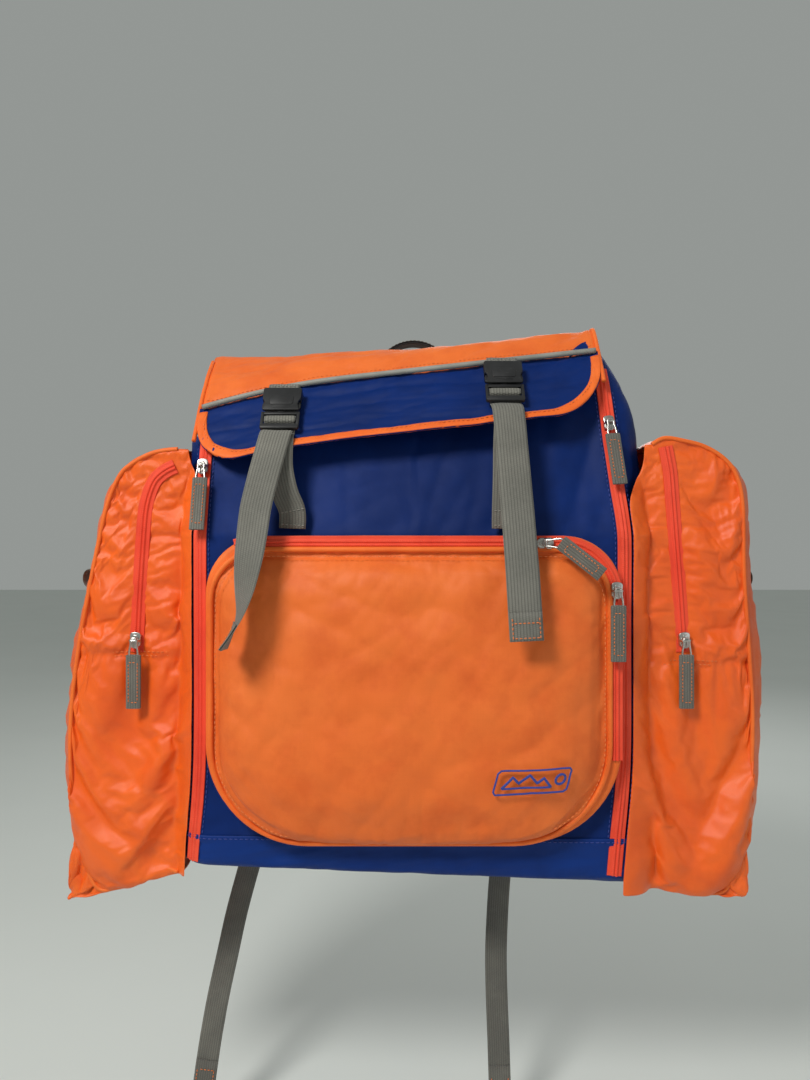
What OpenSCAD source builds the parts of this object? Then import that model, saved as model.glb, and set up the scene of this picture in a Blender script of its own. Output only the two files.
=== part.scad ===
// Travel backpack: a top-loading bag with a buckled lid, a zipped front pocket, two zipped side
// pockets and shoulder straps, hanging from its haul loop.
// The origin is the point inside the top of the haul loop where a hook bears. +Z is up, the front
// of the bag faces -Y and the wearer's back is on the +Y side.

/* [Main bag] */
// Width across the side gussets
bag_w = 386; // [380:2:390]
// Depth from the back panel to the front panel
bag_d = 108; // [104:2:112]
// Height of the base below the haul loop's bearing point
bag_drop = 453; // [448:1:460]
// Thickness of a fabric panel with its lining
wall = 3; // [2.6:0.2:3.4]
// Radius of the bag's upright corners
corner_r = 32; // [28:1:34]

/* [Front pocket] */
// Width of the pocket's face
pocket_w = 308; // [304:2:310]
// Height of the pocket's face
pocket_h = 226; // [222:2:230]
// How far the face bulges in front of its zip
pocket_bulge = 25; // [22:1:25]

/* [Side pockets] */
// How far a side pocket stands out from its gusset
side_w = 105; // [100:1:106]
// Height of a side pocket
side_h = 381; // [376:1:384]
// Depth of a side pocket, front to back
side_d = 84; // [80:2:86]

/* [Lid] */
// Width of the lid
lid_w = 334; // [328:2:336]
// Sideways offset of the sagging lid
lid_x = -13; // [-15:1:-11]
// How much higher the lid's right side hangs, per millimetre of width
lid_tilt = 0.11; // [0.08:0.01:0.12]

/* [Straps] */
// Width of the lid's webbing
lid_web_w = 25; // [24:1:25]
// Width of the shoulder straps' webbing
web_w = 20; // [18:1:20]
// Thickness of all webbing
web_t = 1.2; // [1:0.1:1.3]
// Thickness of a padded shoulder strap
strap_t = 12; // [10:1:12]

/* [Hidden] */
$fn = 48;

orange = [0.93, 0.36, 0.08];
blue = [0.05, 0.13, 0.42];
coral = [0.95, 0.30, 0.20];
grey = [0.42, 0.42, 0.40];
black = [0.05, 0.05, 0.06];
silver = [0.75, 0.75, 0.76];

LEFT = -1;
RIGHT = 1;

// Main bag, from the back face of the bag forwards and from the mouth down
bag_back = -10;
bag_front = bag_back - bag_d;
bag_mid = (bag_back + bag_front) / 2;
bag_bottom = -bag_drop;
yoke_z = -178;
yoke_mid_z = -100;
yoke_mid_front = -96.4;
yoke_mid_w = bag_w - 8;
mouth_w = 316;
mouth_back = [-16, -38];
mouth_front = [-80, -55];
mouth_r = 30;
back_top = -32.5;
foam_t = 6;
foam_w = bag_w - 2 * corner_r - 4;
pad_t = 6;
collar_t = 2.5;

// Zips: a flat tape, the coil that stands on it and the slider that straddles the coil
tape_t = 0.8;
coil_w = 4.6;
coil_h = 1.8;
slider_w = 8;
slider_l = 12;
slider_h = 4.4;
run = 0.3;
bail_r = 1;
bail_up = 3.6;
pull_l = 13;
pull_w = 7;
pull_t = 1.4;
tab_w = 12;
tab_l = 42;
tab_t = 2;

// Front pocket: rim plane of its zip and the outline of its face
rim_y = bag_front - 13;
pocket_x = -4;
face_top = -190;
face_bottom = face_top - pocket_h;
band = 11;
left_band = 5;
pocket_zip_low = -353;

// Side zips, at the two upright edges of the front panel and up the lean of the yoke
side_zip_x = [-171, 166];
side_zip_lean = [0, 4.4];
side_zip_w = 10;
side_zip_up = [68, 108];
side_slider_up = [56, 94];
yoke_lean = atan((yoke_mid_front - bag_front) / (yoke_mid_z - yoke_z));

// Side pockets
side_x = bag_w / 2 + 0.3;
side_front = -100;
side_bottom = -477;
side_top = side_bottom + side_h;
side_slide_x = [-226, 218];
side_slide_z = -263;
side_zip_top_x = [-219, 209];
side_zip_top_z = -140;

// Lid profile from its sewn edge over the crown and down the lip, as [y, z]; it folds at the second
lid_t = 2.4;
lid_profile = [[-13, -32], [-22, -16], [-38, -13], [-60, -20], [-80, -44],
    [-91, -60], [-101, -74], [-110, -86], [-118, -98]];
fold = 1;
seam = 4;
lip_corner = 50;
// How far the lid's left corner droops below the straight tilt, and where that begins
lid_droop = 12;
droop_from = 40;

// Buckles, in a frame that lies on the slope of the lid's lip
lip_slope = -35.1;
buckle_x = [-108, 72];
buckle_y = -98;
buckle_z = -69.5;
buckle_lift = 2.4;
buckle_w = 31;
arm_pivot_x = 11.2;

// ---------------------------------------------------------------- helpers

function lerp(a, b, t) = a + (b - a) * t;

// Rounded rectangle in the plane, exact arcs
module rounded_rect(w, h, r) {
    square([w - 2 * r, h], center = true);
    square([w, h - 2 * r], center = true);
    for (sx = [-1, 1], sy = [-1, 1])
        translate([sx * (w / 2 - r), sy * (h / 2 - r)]) circle(r = r);
}

// Points of a rectangle whose upper and lower corners have their own radii, counter-clockwise
function corner_arc(cx, cz, r, a0) = [for (i = [0:6]) [cx + r * cos(a0 + i * 15), cz + r * sin(a0 + i * 15)]];
function soft_rect(x0, x1, z0, z1, r_low, r_up) = concat(
    corner_arc(x1 - r_up, z1 - r_up, r_up, 0), corner_arc(x0 + r_up, z1 - r_up, r_up, 90),
    corner_arc(x0 + r_low, z0 + r_low, r_low, 180), corner_arc(x1 - r_low, z0 + r_low, r_low, 270));

// Closed solid through rings of equal point count, capped at both ends
module loft(rings) {
    n = len(rings[0]);
    m = len(rings);
    points = [for (ring = rings) each ring];
    sides = [for (k = [0:m - 2], i = [0:n - 1])
        each [[k * n + i, (k + 1) * n + (i + 1) % n, k * n + (i + 1) % n],
              [k * n + i, (k + 1) * n + i, (k + 1) * n + (i + 1) % n]]];
    caps = [[for (i = [0:n - 1]) i], [for (i = [n - 1:-1:0]) (m - 1) * n + i]];
    polyhedron(points = points, faces = concat(sides, caps), convexity = 6);
}

// Smooth curve through points or numbers, with s steps between each two
function blend4(a, b, c, d, t) = 0.5 * (2 * b + (c - a) * t + (2 * a - 5 * b + 4 * c - d) * t * t
    + (3 * b - a - 3 * c + d) * t * t * t);
function smooth(p, s = 3) = let (m = len(p) - 1) concat([for (i = [0:m - 1], k = [0:s - 1])
    blend4(p[max(i - 1, 0)], p[i], p[i + 1], p[min(i + 2, m)], k / s)], [p[m]]);

// Flat band along 3-D points; lean is each point's angle of the band's width from +X, towards -Y
function unit(v) = v / norm(v);
function along(p, i) = unit(p[min(i + 1, len(p) - 1)] - p[max(i - 1, 0)]);
function across(lean) = [cos(lean), -sin(lean), 0];
module web(route, w, t, leans) {
    path = smooth(route);
    lean = smooth(leans);
    rings = [for (i = [0:len(path) - 1])
        let (d = along(path, i), s0 = across(lean[i]), s = unit(s0 - d * (s0 * d)), u = cross(d, s))
        [path[i] - s * w / 2 - u * t / 2, path[i] + s * w / 2 - u * t / 2,
         path[i] + s * w / 2 + u * t / 2, path[i] - s * w / 2 + u * t / 2]];
    loft(rings);
}
function still(route, lean = 0) = [for (p = route) lean];

// ---------------------------------------------------------------- main bag

// Height that a point of the lid or of the mouth gains or loses as the top sags to the left
function sag(x) = let (u = x - lid_x, v = max(0, -u - droop_from) / (lid_w / 2 - droop_from))
    u * lid_tilt - lid_droop * v * v;

module bag_wall() {
    translate([0, bag_mid, bag_bottom + wall]) linear_extrude(yoke_z - bag_bottom - wall) difference() {
        rounded_rect(bag_w, bag_d, corner_r);
        rounded_rect(bag_w - 2 * wall, bag_d - 2 * wall, corner_r - wall);
    }
}
module slice(y0, y1, x0 = -400, x1 = 400) {
    intersection() {
        bag_wall();
        translate([x0, y0, -600]) cube([x1 - x0, y1 - y0, 700]);
    }
}
module front_panel() { color(blue) slice(bag_front - 1, bag_front + corner_r); }
module back_panel() {
    color(blue) {
        slice(bag_back - corner_r, bag_back + 1);
        upright(bag_back, wall) polygon([[-bag_w / 2 + corner_r, yoke_z], [bag_w / 2 - corner_r, yoke_z],
            [mouth_w / 2 - 6, back_top], [-mouth_w / 2 + 6, back_top]]);
    }
}
module gusset(side) {
    color(blue) slice(bag_front + corner_r, bag_back - corner_r, side < 0 ? -400 : 0, side < 0 ? 0 : 400);
}
module base_panel() {
    color(blue) translate([0, bag_mid, bag_bottom]) linear_extrude(wall) rounded_rect(bag_w, bag_d, corner_r);
}

// Yoke: the fabric above the panels, which narrows to the mouth under the lid
function level_ring(w, y0, y1, z, r, inset) = [for (p = soft_rect(-w / 2 + inset, w / 2 - inset,
    y0 + inset, y1 - inset, r - inset, r - inset)) [p[0], p[1], z]];
function mouth_z(x, y) = let (t = (y - mouth_front[0]) / (mouth_back[0] - mouth_front[0]))
    lerp(mouth_front[1], mouth_back[1], t) + sag(x) * (1 - 0.85 * t);
function mouth_ring(w, y0, y1, r, drop) = [for (p = soft_rect(-w / 2, w / 2, y0, y1, r, r))
    [p[0], p[1], mouth_z(p[0], p[1]) - drop]];
yoke_back = bag_back - wall - 0.4;
module yoke_body(inset, grow) {
    loft([level_ring(bag_w, bag_front, yoke_back, yoke_z - grow, corner_r, inset),
        level_ring(yoke_mid_w, yoke_mid_front, yoke_back - 1, yoke_mid_z, corner_r, inset),
        mouth_ring(mouth_w - 2 * inset, mouth_front[0] + inset, mouth_back[0] - inset,
            mouth_r - inset, -grow)]);
}
module yoke() {
    color(blue) difference() {
        yoke_body(0, 0);
        yoke_body(2.5, 2);
    }
}

// The gathered collar that the drawcord pulls in across the mouth
hole_w = 236;
hole_d = 34;
eyelet_y = mouth_front[0] + 9;
eyelet_x = [-14, 14];
module collar() {
    y0 = mouth_front[0] + 2.8;
    y1 = mouth_back[0] - 2.8;
    mid = (y0 + y1) / 2;
    color(blue) difference() {
        loft([for (drop = [3 + collar_t, 3]) mouth_ring(mouth_w - 5.6, y0, y1, mouth_r - 3, drop)]);
        translate([0, mid, -200]) linear_extrude(220) rounded_rect(hole_w, hole_d, 16);
        for (x = eyelet_x) translate([x, eyelet_y, -200]) cylinder(r = 2.6, h = 220);
    }
}
module collar_eyelets() {
    color(silver) for (x = eyelet_x) translate([x, eyelet_y, mouth_z(x, eyelet_y) - 0.2]) difference() {
        cylinder(r = 5.5, h = 1);
        translate([0, 0, -1]) cylinder(r = 2.4, h = 3);
    }
}

module back_foam() {
    color(grey) translate([-foam_w / 2, bag_back - wall - foam_t, bag_bottom + wall + 2])
        cube([foam_w, foam_t, 250]);
}
module back_pads() {
    color(grey) for (side = [LEFT, RIGHT])
        translate([side * 78, bag_back, -262]) rotate([-90, 0, 0])
            linear_extrude(pad_t) rounded_rect(120, 300, 28);
}

// ---------------------------------------------------------------- zips

// Straight zip from a point down by l, its tape facing -Y; lean turns it about Y
module zip(x, y, z, l, w, lean = 0) {
    translate([x, y, z]) rotate([0, lean, 0]) color(coral) {
        translate([-w / 2, -tape_t, -l]) cube([w, tape_t, l]);
        translate([-coil_w / 2, -tape_t - coil_h, -l + 4]) cube([coil_w, coil_h, l - 8]);
    }
}

// Slider that straddles a coil on a face at y, with its bail bar across the track
module slider(x, y, z, lean = 0) {
    inner_w = coil_w + 2 * run;
    base_y = -tape_t - run;
    top_y = base_y - slider_h;
    translate([x, y, z]) rotate([0, lean, 0]) color(silver) {
        difference() {
            translate([-slider_w / 2, top_y, -slider_l / 2]) cube([slider_w, slider_h, slider_l]);
            translate([-inner_w / 2, -tape_t - coil_h - run, -slider_l]) cube([inner_w, 10, 2 * slider_l]);
        }
        for (side = [-1, 1]) translate([side * 3.4 - 0.7, top_y - bail_up, -1.2])
            cube([1.4, bail_up, 2.4]);
        translate([-4.1, top_y - bail_up, 0]) rotate([0, 90, 0]) cylinder(r = bail_r, h = 8.2);
    }
}
// Distance of the bail bar's axis in front of the face that carries the zip
bail_y = tape_t + run + slider_h + bail_up;

// Puller: a metal link with an eye round the bail bar, and a webbing tab sewn through its far end
module pull(x, y, z, lean = 0, tab_turn = 0, out = 0) {
    translate([x, y - bail_y, z]) rotate([0, lean, 0]) rotate([-out, 0, 0]) {
        color(silver) difference() {
            union() {
                translate([-2.2, 0, 0]) rotate([0, 90, 0]) cylinder(r = 2.5, h = 4.4);
                translate([-2.2, -pull_t / 2, -6]) cube([4.4, pull_t, 5]);
                translate([-pull_w / 2, -pull_t / 2, -pull_l]) cube([pull_w, pull_t, pull_l - 5]);
            }
            translate([-5, 0, 0]) rotate([0, 90, 0]) cylinder(r = 1.4, h = 10);
            translate([-2, -5, -pull_l + 1.8]) cube([4, 10, 2.4]);
        }
        color(grey) translate([0, 0, -pull_l - 0.02]) rotate([0, tab_turn, 0])
            translate([-tab_w / 2, -tab_t / 2, -tab_l]) cube([tab_w, tab_t, tab_l - (tab_turn == 0 ? 0 : 4)]);
    }
}

// Frame at the foot of the yoke's lean, on the line of a side zip
module on_yoke(side) {
    translate([pick(side_zip_x, side), bag_front, yoke_z]) rotate([-yoke_lean, 0, 0])
        rotate([0, -pick(side_zip_lean, side), 0]) children();
}
module side_zip(side) {
    zip(pick(side_zip_x, side), bag_front, yoke_z, yoke_z - bag_bottom - 2, side_zip_w);
    up = pick(side_zip_up, side);
    on_yoke(side) zip(0, 0, up, up - 1, side_zip_w);
}
module side_slider(side) { on_yoke(side) slider(0, 0, pick(side_slider_up, side)); }
module side_pull(side) { on_yoke(side) pull(0, 0, pick(side_slider_up, side)); }

// ---------------------------------------------------------------- front pocket

function face_ring(y, inset) = [for (p = soft_rect(-pocket_w / 2 + inset, pocket_w / 2 - inset,
    face_bottom + inset, face_top - inset, 75 - inset * 0.6, 40 - inset * 0.2)) [p[0] + pocket_x, y, p[1]]];

// How the face swells: share of the bulge against the distance in from the rim
face_steps = [[0, 0], [0.42, 6], [0.74, 18], [0.93, 36], [1, 62]];
function face_rings(grow) = [for (s = face_steps) face_ring(rim_y - s[0] * pocket_bulge - grow, s[1])];
module front_pocket_face() {
    skin = 2.2;
    inner = [for (i = [len(face_steps) - 1:-1:0]) face_ring(
        rim_y - face_steps[i][0] * pocket_bulge + (i == 0 ? 0 : skin), face_steps[i][1] + skin)];
    color(orange) loft(concat(inner, face_rings(0)));
}

module band_2d(grow, low) {
    difference() {
        polygon(soft_rect(-pocket_w / 2 - left_band, pocket_w / 2 + grow, face_bottom - 2, face_top + grow,
            77, 40 + left_band));
        children();
    }
}
module upright(y0, t, x = 0) { translate([x, y0, 0]) rotate([90, 0, 0]) linear_extrude(t) children(); }
module face_2d(inset = 0) {
    polygon(soft_rect(-pocket_w / 2 + inset, pocket_w / 2 - inset, face_bottom + inset, face_top - inset,
        75 - inset, 40));
}
module front_pocket_gusset() {
    color(orange) upright(bag_front, bag_front - rim_y - tape_t, pocket_x) band_2d(band) face_2d(0);
}
module front_pocket_zip() {
    color(coral) {
        upright(rim_y + tape_t, tape_t, pocket_x) difference() {
            band_2d(band) face_2d(0);
            translate([-300, -700]) square([600, 700 + pocket_zip_low]);
        }
        translate([pocket_x - 112, rim_y - coil_h, face_top + band / 2 - coil_w / 2])
            cube([226, coil_h, coil_w]);
        translate([pocket_x + pocket_w / 2 + band / 2 - coil_w / 2, rim_y - coil_h, pocket_zip_low + 3])
            cube([coil_w, coil_h, face_top - 38 - pocket_zip_low]);
    }
}
module front_pocket_piping() {
    color(orange) upright(rim_y, 3, pocket_x) difference() {
        face_2d(-1.2);
        face_2d(0);
    }
}
slider_a = [100, rim_y + tape_t, face_top + band / 2];
slider_b = [pocket_x + pocket_w / 2 + band / 2, rim_y + tape_t, -221];

// Embroidered patch that follows the swell of the face
module badge() {
    color(blue) difference() {
        intersection() {
            translate([87, rim_y - 10, -362]) rotate([90, 0, 0]) linear_extrude(20) rounded_rect(56, 18, 3);
            loft(face_rings(0.9));
        }
        loft(face_rings(0.05));
    }
}

// ---------------------------------------------------------------- side pockets

function side_ring(side, x, inset) = [for (p = soft_rect(side_front + inset, side_front + side_d - inset,
    side_bottom + inset, side_top - inset, 30 - inset * 0.25, 34 - inset * 0.25))
    [side * x, side < 0 ? 2 * side_front + side_d - p[0] : p[0], p[1]]];
module side_pocket(side) {
    skin = 2;
    steps = [[0, 0], [side_w * 0.68, 0], [side_w * 0.86, 5], [side_w * 0.96, 16], [side_w, 32]];
    outer = [for (s = steps) side_ring(side, side_x + s[0], s[1])];
    inner = [for (i = [len(steps) - 1:-1:0])
        side_ring(side, side_x + steps[i][0] - (i == 0 ? 0 : skin), steps[i][1] + skin)];
    color(orange) loft(concat(inner, outer));
}
function pick(pair, side) = side < 0 ? pair[0] : pair[1];
zip_drop = side_zip_top_z - side_slide_z;
function zip_lean(side) = atan((pick(side_slide_x, side) - pick(side_zip_top_x, side)) / zip_drop);
module pocket_zip(side) {
    zip(pick(side_zip_top_x, side), side_front, side_zip_top_z, zip_drop + 12, 12, -zip_lean(side));
}
module gear_tabs() {
    color(grey) for (side = [LEFT, RIGHT])
        translate([side * (side_x + side_w + 2.5), side_front + side_d - 34, -215])
            cube([5, web_w, 18], center = true);
}

// ---------------------------------------------------------------- lid

// The lid hangs lower on its left: the sag grows from the straight fold line to the crown
function lid_rise(x, i) = sag(x) * max(0, min(1, (i - fold) / 2));
function lid_normal(i) =
    let (next = min(i + 1, len(lid_profile) - 1), d = unit(lid_profile[next] - lid_profile[max(i - 1, 0)]))
    [-d[1], d[0]];
function lid_point(x, i, off = 0) = let (n = lid_normal(i), p = lid_profile[i])
    [x, p[0] - n[0] * off, p[1] - n[1] * off + lid_rise(x, i)];

// Sheet of lid between two stations of the profile and two sides
module lid_sheet(i0, i1, x0, x1, off, t) {
    cols = 18;
    rings = [for (c = [0:cols]) let (x = lerp(x0, x1, c / cols)) concat(
        [for (i = [i0:i1]) lid_point(x, i, off + t)], [for (i = [i1:-1:i0]) lid_point(x, i, off)])];
    loft(rings);
}
module lid_panel() { color(orange) lid_sheet(fold, seam, lid_x - lid_w / 2, lid_x + lid_w / 2, 0, lid_t); }
// Strip of the lid that stays put behind the fold, sewn to the top of the back panel
module lid_back() { color(orange) lid_sheet(0, fold, lid_x - lid_w / 2, lid_x + lid_w / 2, 0, lid_t); }

// The lip's lower edge: how far its rounded corners lift it at x, and the station where it ends
lip_end = len(lid_profile) - 1;
lip_fall = lid_profile[seam][1] - lid_profile[lip_end][1];
function corner_lift(x, inset) =
    let (r = lip_corner - inset, d = min(r, max(0, abs(x) - lid_w / 2 + lip_corner)))
    inset + r - sqrt(r * r - d * d);
function lip_station(x, inset) = lip_end - (lip_end - seam) * corner_lift(x, inset) / lip_fall;
function profile_at(u) = let (i = min(floor(u), lip_end - 1)) lerp(lid_profile[i], lid_profile[i + 1], u - i);
function lip_point(x, u, off) = let (n = lid_normal(round(u)), p = profile_at(u))
    [lid_x + x, p[0] - n[0] * off, p[1] - n[1] * off + sag(lid_x + x)];
lip_columns = concat([for (a = [90:-15:0]) -lid_w / 2 + lip_corner * (1 - sin(a))], [-60, 0, 60],
    [for (a = [0:15:90]) lid_w / 2 - lip_corner * (1 - sin(a))]);
// Sheet of the lip from station from(x) down to its edge
module lip_sheet(starts, off, t) {
    rows = 6;
    rings = [for (c = [0:len(lip_columns) - 1]) let (x = lip_columns[c], u1 = lip_station(x, 0)) concat(
        [for (r = [0:rows]) lip_point(x, lerp(starts[c], u1, r / rows), off + t)],
        [for (r = [rows:-1:0]) lip_point(x, lerp(starts[c], u1, r / rows), off)])];
    loft(rings);
}
binding_w = 8;
binding_t = 0.8;
binding_gap = 0.4;
module lid_lip() { color(blue) lip_sheet([for (x = lip_columns) seam], 0, lid_t); }
module lid_binding() {
    starts = [for (x = lip_columns) abs(x) > lid_w / 2 - binding_w ? seam : lip_station(x, binding_w)];
    color(orange) {
        lip_sheet(starts, lid_t + binding_gap, binding_t);
        lip_sheet(starts, -binding_gap - binding_t, binding_t);
    }
}
module lid_piping() {
    route = [for (c = [0:10]) lid_point(lid_x + (lid_w - 12) * (c / 10 - 0.5), seam, lid_t + 2)];
    rings = [for (p = route) [for (a = [0:60:300]) p + [0, 1.4 * cos(a), 1.4 * sin(a)]]];
    color(grey) loft(rings);
}

// ---------------------------------------------------------------- buckles

module on_lip(side) {
    x = pick(buckle_x, side);
    translate([x, buckle_y, buckle_z + sag(x)]) rotate([lip_slope, 0, 0])
        translate([0, -buckle_lift, 0]) children();
}
// A point given on the lip's slope, as [x, outward, up the slope], in the bag's frame
function off_lip(side, p) = let (x = pick(buckle_x, side), out = p[1] + buckle_lift)
    [x + p[0], buckle_y - out * cos(lip_slope) - p[2] * sin(lip_slope),
     buckle_z + sag(x) - out * sin(lip_slope) + p[2] * cos(lip_slope)];

module block(x0, x1, out0, out1, z0, z1) { translate([x0, -out1, z0]) cube([x1 - x0, out1 - out0, z1 - z0]); }

module buckle_socket(side) {
    h = buckle_w / 2;
    color(black) on_lip(side) {
        block(-h, h, 8.2, 10, -2, 22);
        difference() {
            block(-h, h, 3, 8.2, 16.6, 22);
            block(-12.8, 12.8, 2, 9, 18.2, 20.2);
        }
        for (s = [-1, 1]) block(s * h - (s > 0 ? 1.6 : 0), s * h + (s < 0 ? 1.6 : 0), 3, 8.2, 9, 16.6);
    }
}
module buckle_plug(side) {
    h = buckle_w / 2;
    color(black) on_lip(side) difference() {
        union() {
            for (s = [-1, 1]) block(s > 0 ? 13 : -h, s > 0 ? h : -13, 4.95, 8, -20, -2.6);
            block(-13, 13, 4.6, 8, -5.6, -2.6);
            block(-13, 13, 5.2, 7, -12, -8.6);
            block(-13, 13, 4.8, 8.6, -20, -16);
            block(-2.5, 2.5, 4.8, 7.6, -2.6, 13);
        }
        for (s = [-1, 1]) translate([s * arm_pivot_x, 0, -2.6]) rotate([90, 0, 0]) cylinder(r = 2.3, h = 20);
    }
}
module buckle_arm(side, hand) {
    color(black) on_lip(side) {
        translate([hand * arm_pivot_x, -4.8, -2.6]) rotate([90, 0, 0]) cylinder(r = 1.9, h = 2.8);
        block(hand * arm_pivot_x - 1.5, hand * arm_pivot_x + 1.5, 4.8, 7.6, -1.5, 15.5);
        block(hand > 0 ? 12.6 : -15.3, hand > 0 ? 15.3 : -12.6, 4.8, 7.6, 0.2, 8.4);
    }
}
module buckle_tabs() {
    color(grey) for (side = [LEFT, RIGHT]) on_lip(side)
        block(-lid_web_w / 2, lid_web_w / 2, 4.6, 4.6 + web_t, 22, 31);
}

// Lid webbing: up from the pocket's top seam, round the plug's middle bar, and down as a free tail
anchor_foot_x = [-97, 71];
anchor_foot = [bag_front - 2, face_top + band + 6];
module anchor_strap(side) {
    foot_x = pick(anchor_foot_x, side);
    top_x = pick(buckle_x, side);
    drop = sag(top_x);
    route = [[foot_x, anchor_foot[0], anchor_foot[1]], [foot_x, anchor_foot[0] - 1, anchor_foot[1] + 14],
        [lerp(foot_x, top_x, 0.5), anchor_foot[0] - 3, -138 + drop / 2],
        [lerp(foot_x, top_x, 0.85), anchor_foot[0] - 4, -112 + drop],
        off_lip(side, [1.5, 4.2, -30]), off_lip(side, [1.5, 1.95, -20.5]), off_lip(side, [1.5, 1.9, -8.4])];
    color(grey) web(route, lid_web_w - 4, web_t, still(route));
}
tail_wrap = [[0, 3.2, -7.1], [0, 5.4, -6.8], [0, 7.6, -7.9], [0, 8.1, -10.3], [0, 7.7, -12.6],
    [0, 5.4, -13.6], [0, 3.77, -15.8], [0, 3.9, -21]];
// Free tails of the lid webbing, below the buckles
left_tail_route = [[-110, -121, -98], [-113, -127, -112], [-117, -135, -132], [-121, -145, -156],
    [-123, -154, -182], [-125, -161, -206], [-127, -166, -228], [-132, -168, -246], [-140, -169, -262]];
left_tail_lean = [0, 2, 4, 8, 16, 32, 56, 78, 92];
right_tail_route = [[73, -123.5, -79], [74, -128.5, -94], [75, -134, -114], [76, -142, -138],
    [77, -150, -162], [78, -157, -187], [79, -163, -212], [80, -166, -235], [81, -168, -256]];
right_tail_lean = [0, 0, 0, 0, 0, 0, 0, 0, 0];
module lid_tail(side) {
    wrap = [for (p = tail_wrap) off_lip(side, p)];
    free = pick([left_tail_route, right_tail_route], side);
    leans = pick([left_tail_lean, right_tail_lean], side);
    color(grey) web(concat(wrap, free), lid_web_w, web_t, concat(still(wrap), leans));
}

// ---------------------------------------------------------------- back: haul loop and shoulder straps

loop_r = 34;
module haul_loop() {
    t = 3;
    color(black) translate([0, -web_w / 2, -loop_r]) rotate([-90, 0, 0]) linear_extrude(web_w) {
        intersection() {
            difference() {
                circle(r = loop_r + t, $fn = 96);
                circle(r = loop_r, $fn = 96);
            }
            translate([-60, -60]) square([120, 60]);
        }
        for (side = [-1, 1]) translate([side * (loop_r + t / 2) - t / 2, -0.1]) square([t, 14]);
    }
}

// Padded strap: its middle line curves out from the neck to the ribs
strap_y = 4;
strap_mid = [[46, -66], [52, -110], [66, -160], [84, -210], [101, -250], [111, -290], [115, -326]];
strap_half = [26, 29, 31, 31, 29, 25, 20];
function strap_dir(i) = unit(strap_mid[min(i + 1, 6)] - strap_mid[max(i - 1, 0)]);
module shoulder_strap(side) {
    inner = [for (i = [0:6]) let (d = strap_dir(i)) strap_mid[i] + [d[1], -d[0]] * strap_half[i]];
    outer = [for (i = [6:-1:0]) let (d = strap_dir(i)) strap_mid[i] - [d[1], -d[0]] * strap_half[i]];
    color(grey) scale([side, 1, 1]) {
        translate([0, strap_y + strap_t, 0]) rotate([90, 0, 0])
            linear_extrude(strap_t) polygon(concat(inner, outer));
        translate([30, bag_back, -92]) cube([40, strap_y - bag_back, 18]);
    }
}
// Ladder lock at the foot of a strap, with bars across the webbing
lock_x = 115;
lock_z = -328;
lock_y = strap_y + strap_t / 2;
module ladder_lock(side) {
    color(black) translate([side * lock_x, lock_y, lock_z]) {
        for (s = [-1, 1]) translate([s * 12.5 - 1.5, -3, -26]) cube([3, 6, 26]);
        translate([-11, -3, -4]) cube([22, 6, 4]);
        translate([-11, -1.2, -15]) cube([22, 2.4, 4]);
        translate([-11, -0.6, -26]) cube([22, 3.6, 4.5]);
    }
}
// Webbing from the base corners of the bag up to the locks
module lower_webs() { for (side = [LEFT, RIGHT]) lower_web(side); }
module lower_web(side) {
    route = [[side * 148, bag_back + 1, -436], [side * 144, bag_back + 3, -418],
        [side * 128, lock_y - 4, -380], [side * 117, lock_y - 3.6, -356], [side * 115, lock_y - 2.8, -342]];
    color(grey) web(route, web_w - 2, web_t, still(route));
}
// Free tails of the shoulder webbing
left_strap_route = [[-115, 12.1, -341], [-115.5, 14.6, -350], [-119, 15.2, -376], [-126, 13.5, -404],
    [-137, 10.5, -434], [-148, 6, -466], [-157, 1, -498], [-165, -5, -530], [-172, -11, -565],
    [-179, -17, -600], [-185, -23, -638], [-190, -28, -678]];
right_strap_route = [[115, 12.1, -341], [114.5, 14.6, -350], [111, 15.2, -376], [104, 13.5, -404],
    [94, 10.5, -434], [86, 6, -466], [81, 1, -498], [78, -5, -530], [76, -11, -565],
    [76, -17, -600], [77, -23, -640], [78, -28, -690]];
module strap_tail(side) {
    route = pick([left_strap_route, right_strap_route], side);
    color(grey) web(route, web_w, web_t, still(route));
}

// ---------------------------------------------------------------- nodes

front_panel();
gusset(LEFT);  // left_gusset
gusset(RIGHT);  // right_gusset
back_panel();
base_panel();
yoke();
collar();
collar_eyelets();
back_foam();
back_pads();
side_zip(LEFT);  // left_side_zip
side_zip(RIGHT);  // right_side_zip
front_pocket_face();
front_pocket_gusset();
front_pocket_zip();
front_pocket_piping();
badge();
side_pocket(LEFT);  // left_pocket
side_pocket(RIGHT);  // right_pocket
pocket_zip(LEFT);  // left_pocket_zip
pocket_zip(RIGHT);  // right_pocket_zip
gear_tabs();
anchor_strap(LEFT);  // left_anchor_strap
anchor_strap(RIGHT);  // right_anchor_strap
haul_loop();
shoulder_strap(LEFT);  // left_shoulder_strap
shoulder_strap(RIGHT);  // right_shoulder_strap
ladder_lock(LEFT);  // left_ladder_lock
ladder_lock(RIGHT);  // right_ladder_lock
lower_webs();
strap_tail(LEFT);  // left_strap_tail
strap_tail(RIGHT);  // right_strap_tail
lid_back();
lid_panel();
lid_lip();
lid_piping();
lid_binding();
buckle_tabs();
buckle_socket(LEFT);  // left_buckle_socket
buckle_socket(RIGHT);  // right_buckle_socket
buckle_plug(LEFT);  // left_buckle_plug
buckle_plug(RIGHT);  // right_buckle_plug
buckle_arm(LEFT, -1);  // left_arm_outer
buckle_arm(LEFT, 1);  // left_arm_inner
buckle_arm(RIGHT, 1);  // right_arm_outer
buckle_arm(RIGHT, -1);  // right_arm_inner
lid_tail(LEFT);  // left_lid_tail
lid_tail(RIGHT);  // right_lid_tail
slider(slider_a[0], slider_a[1], slider_a[2], 90);  // pocket_slider_a
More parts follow.
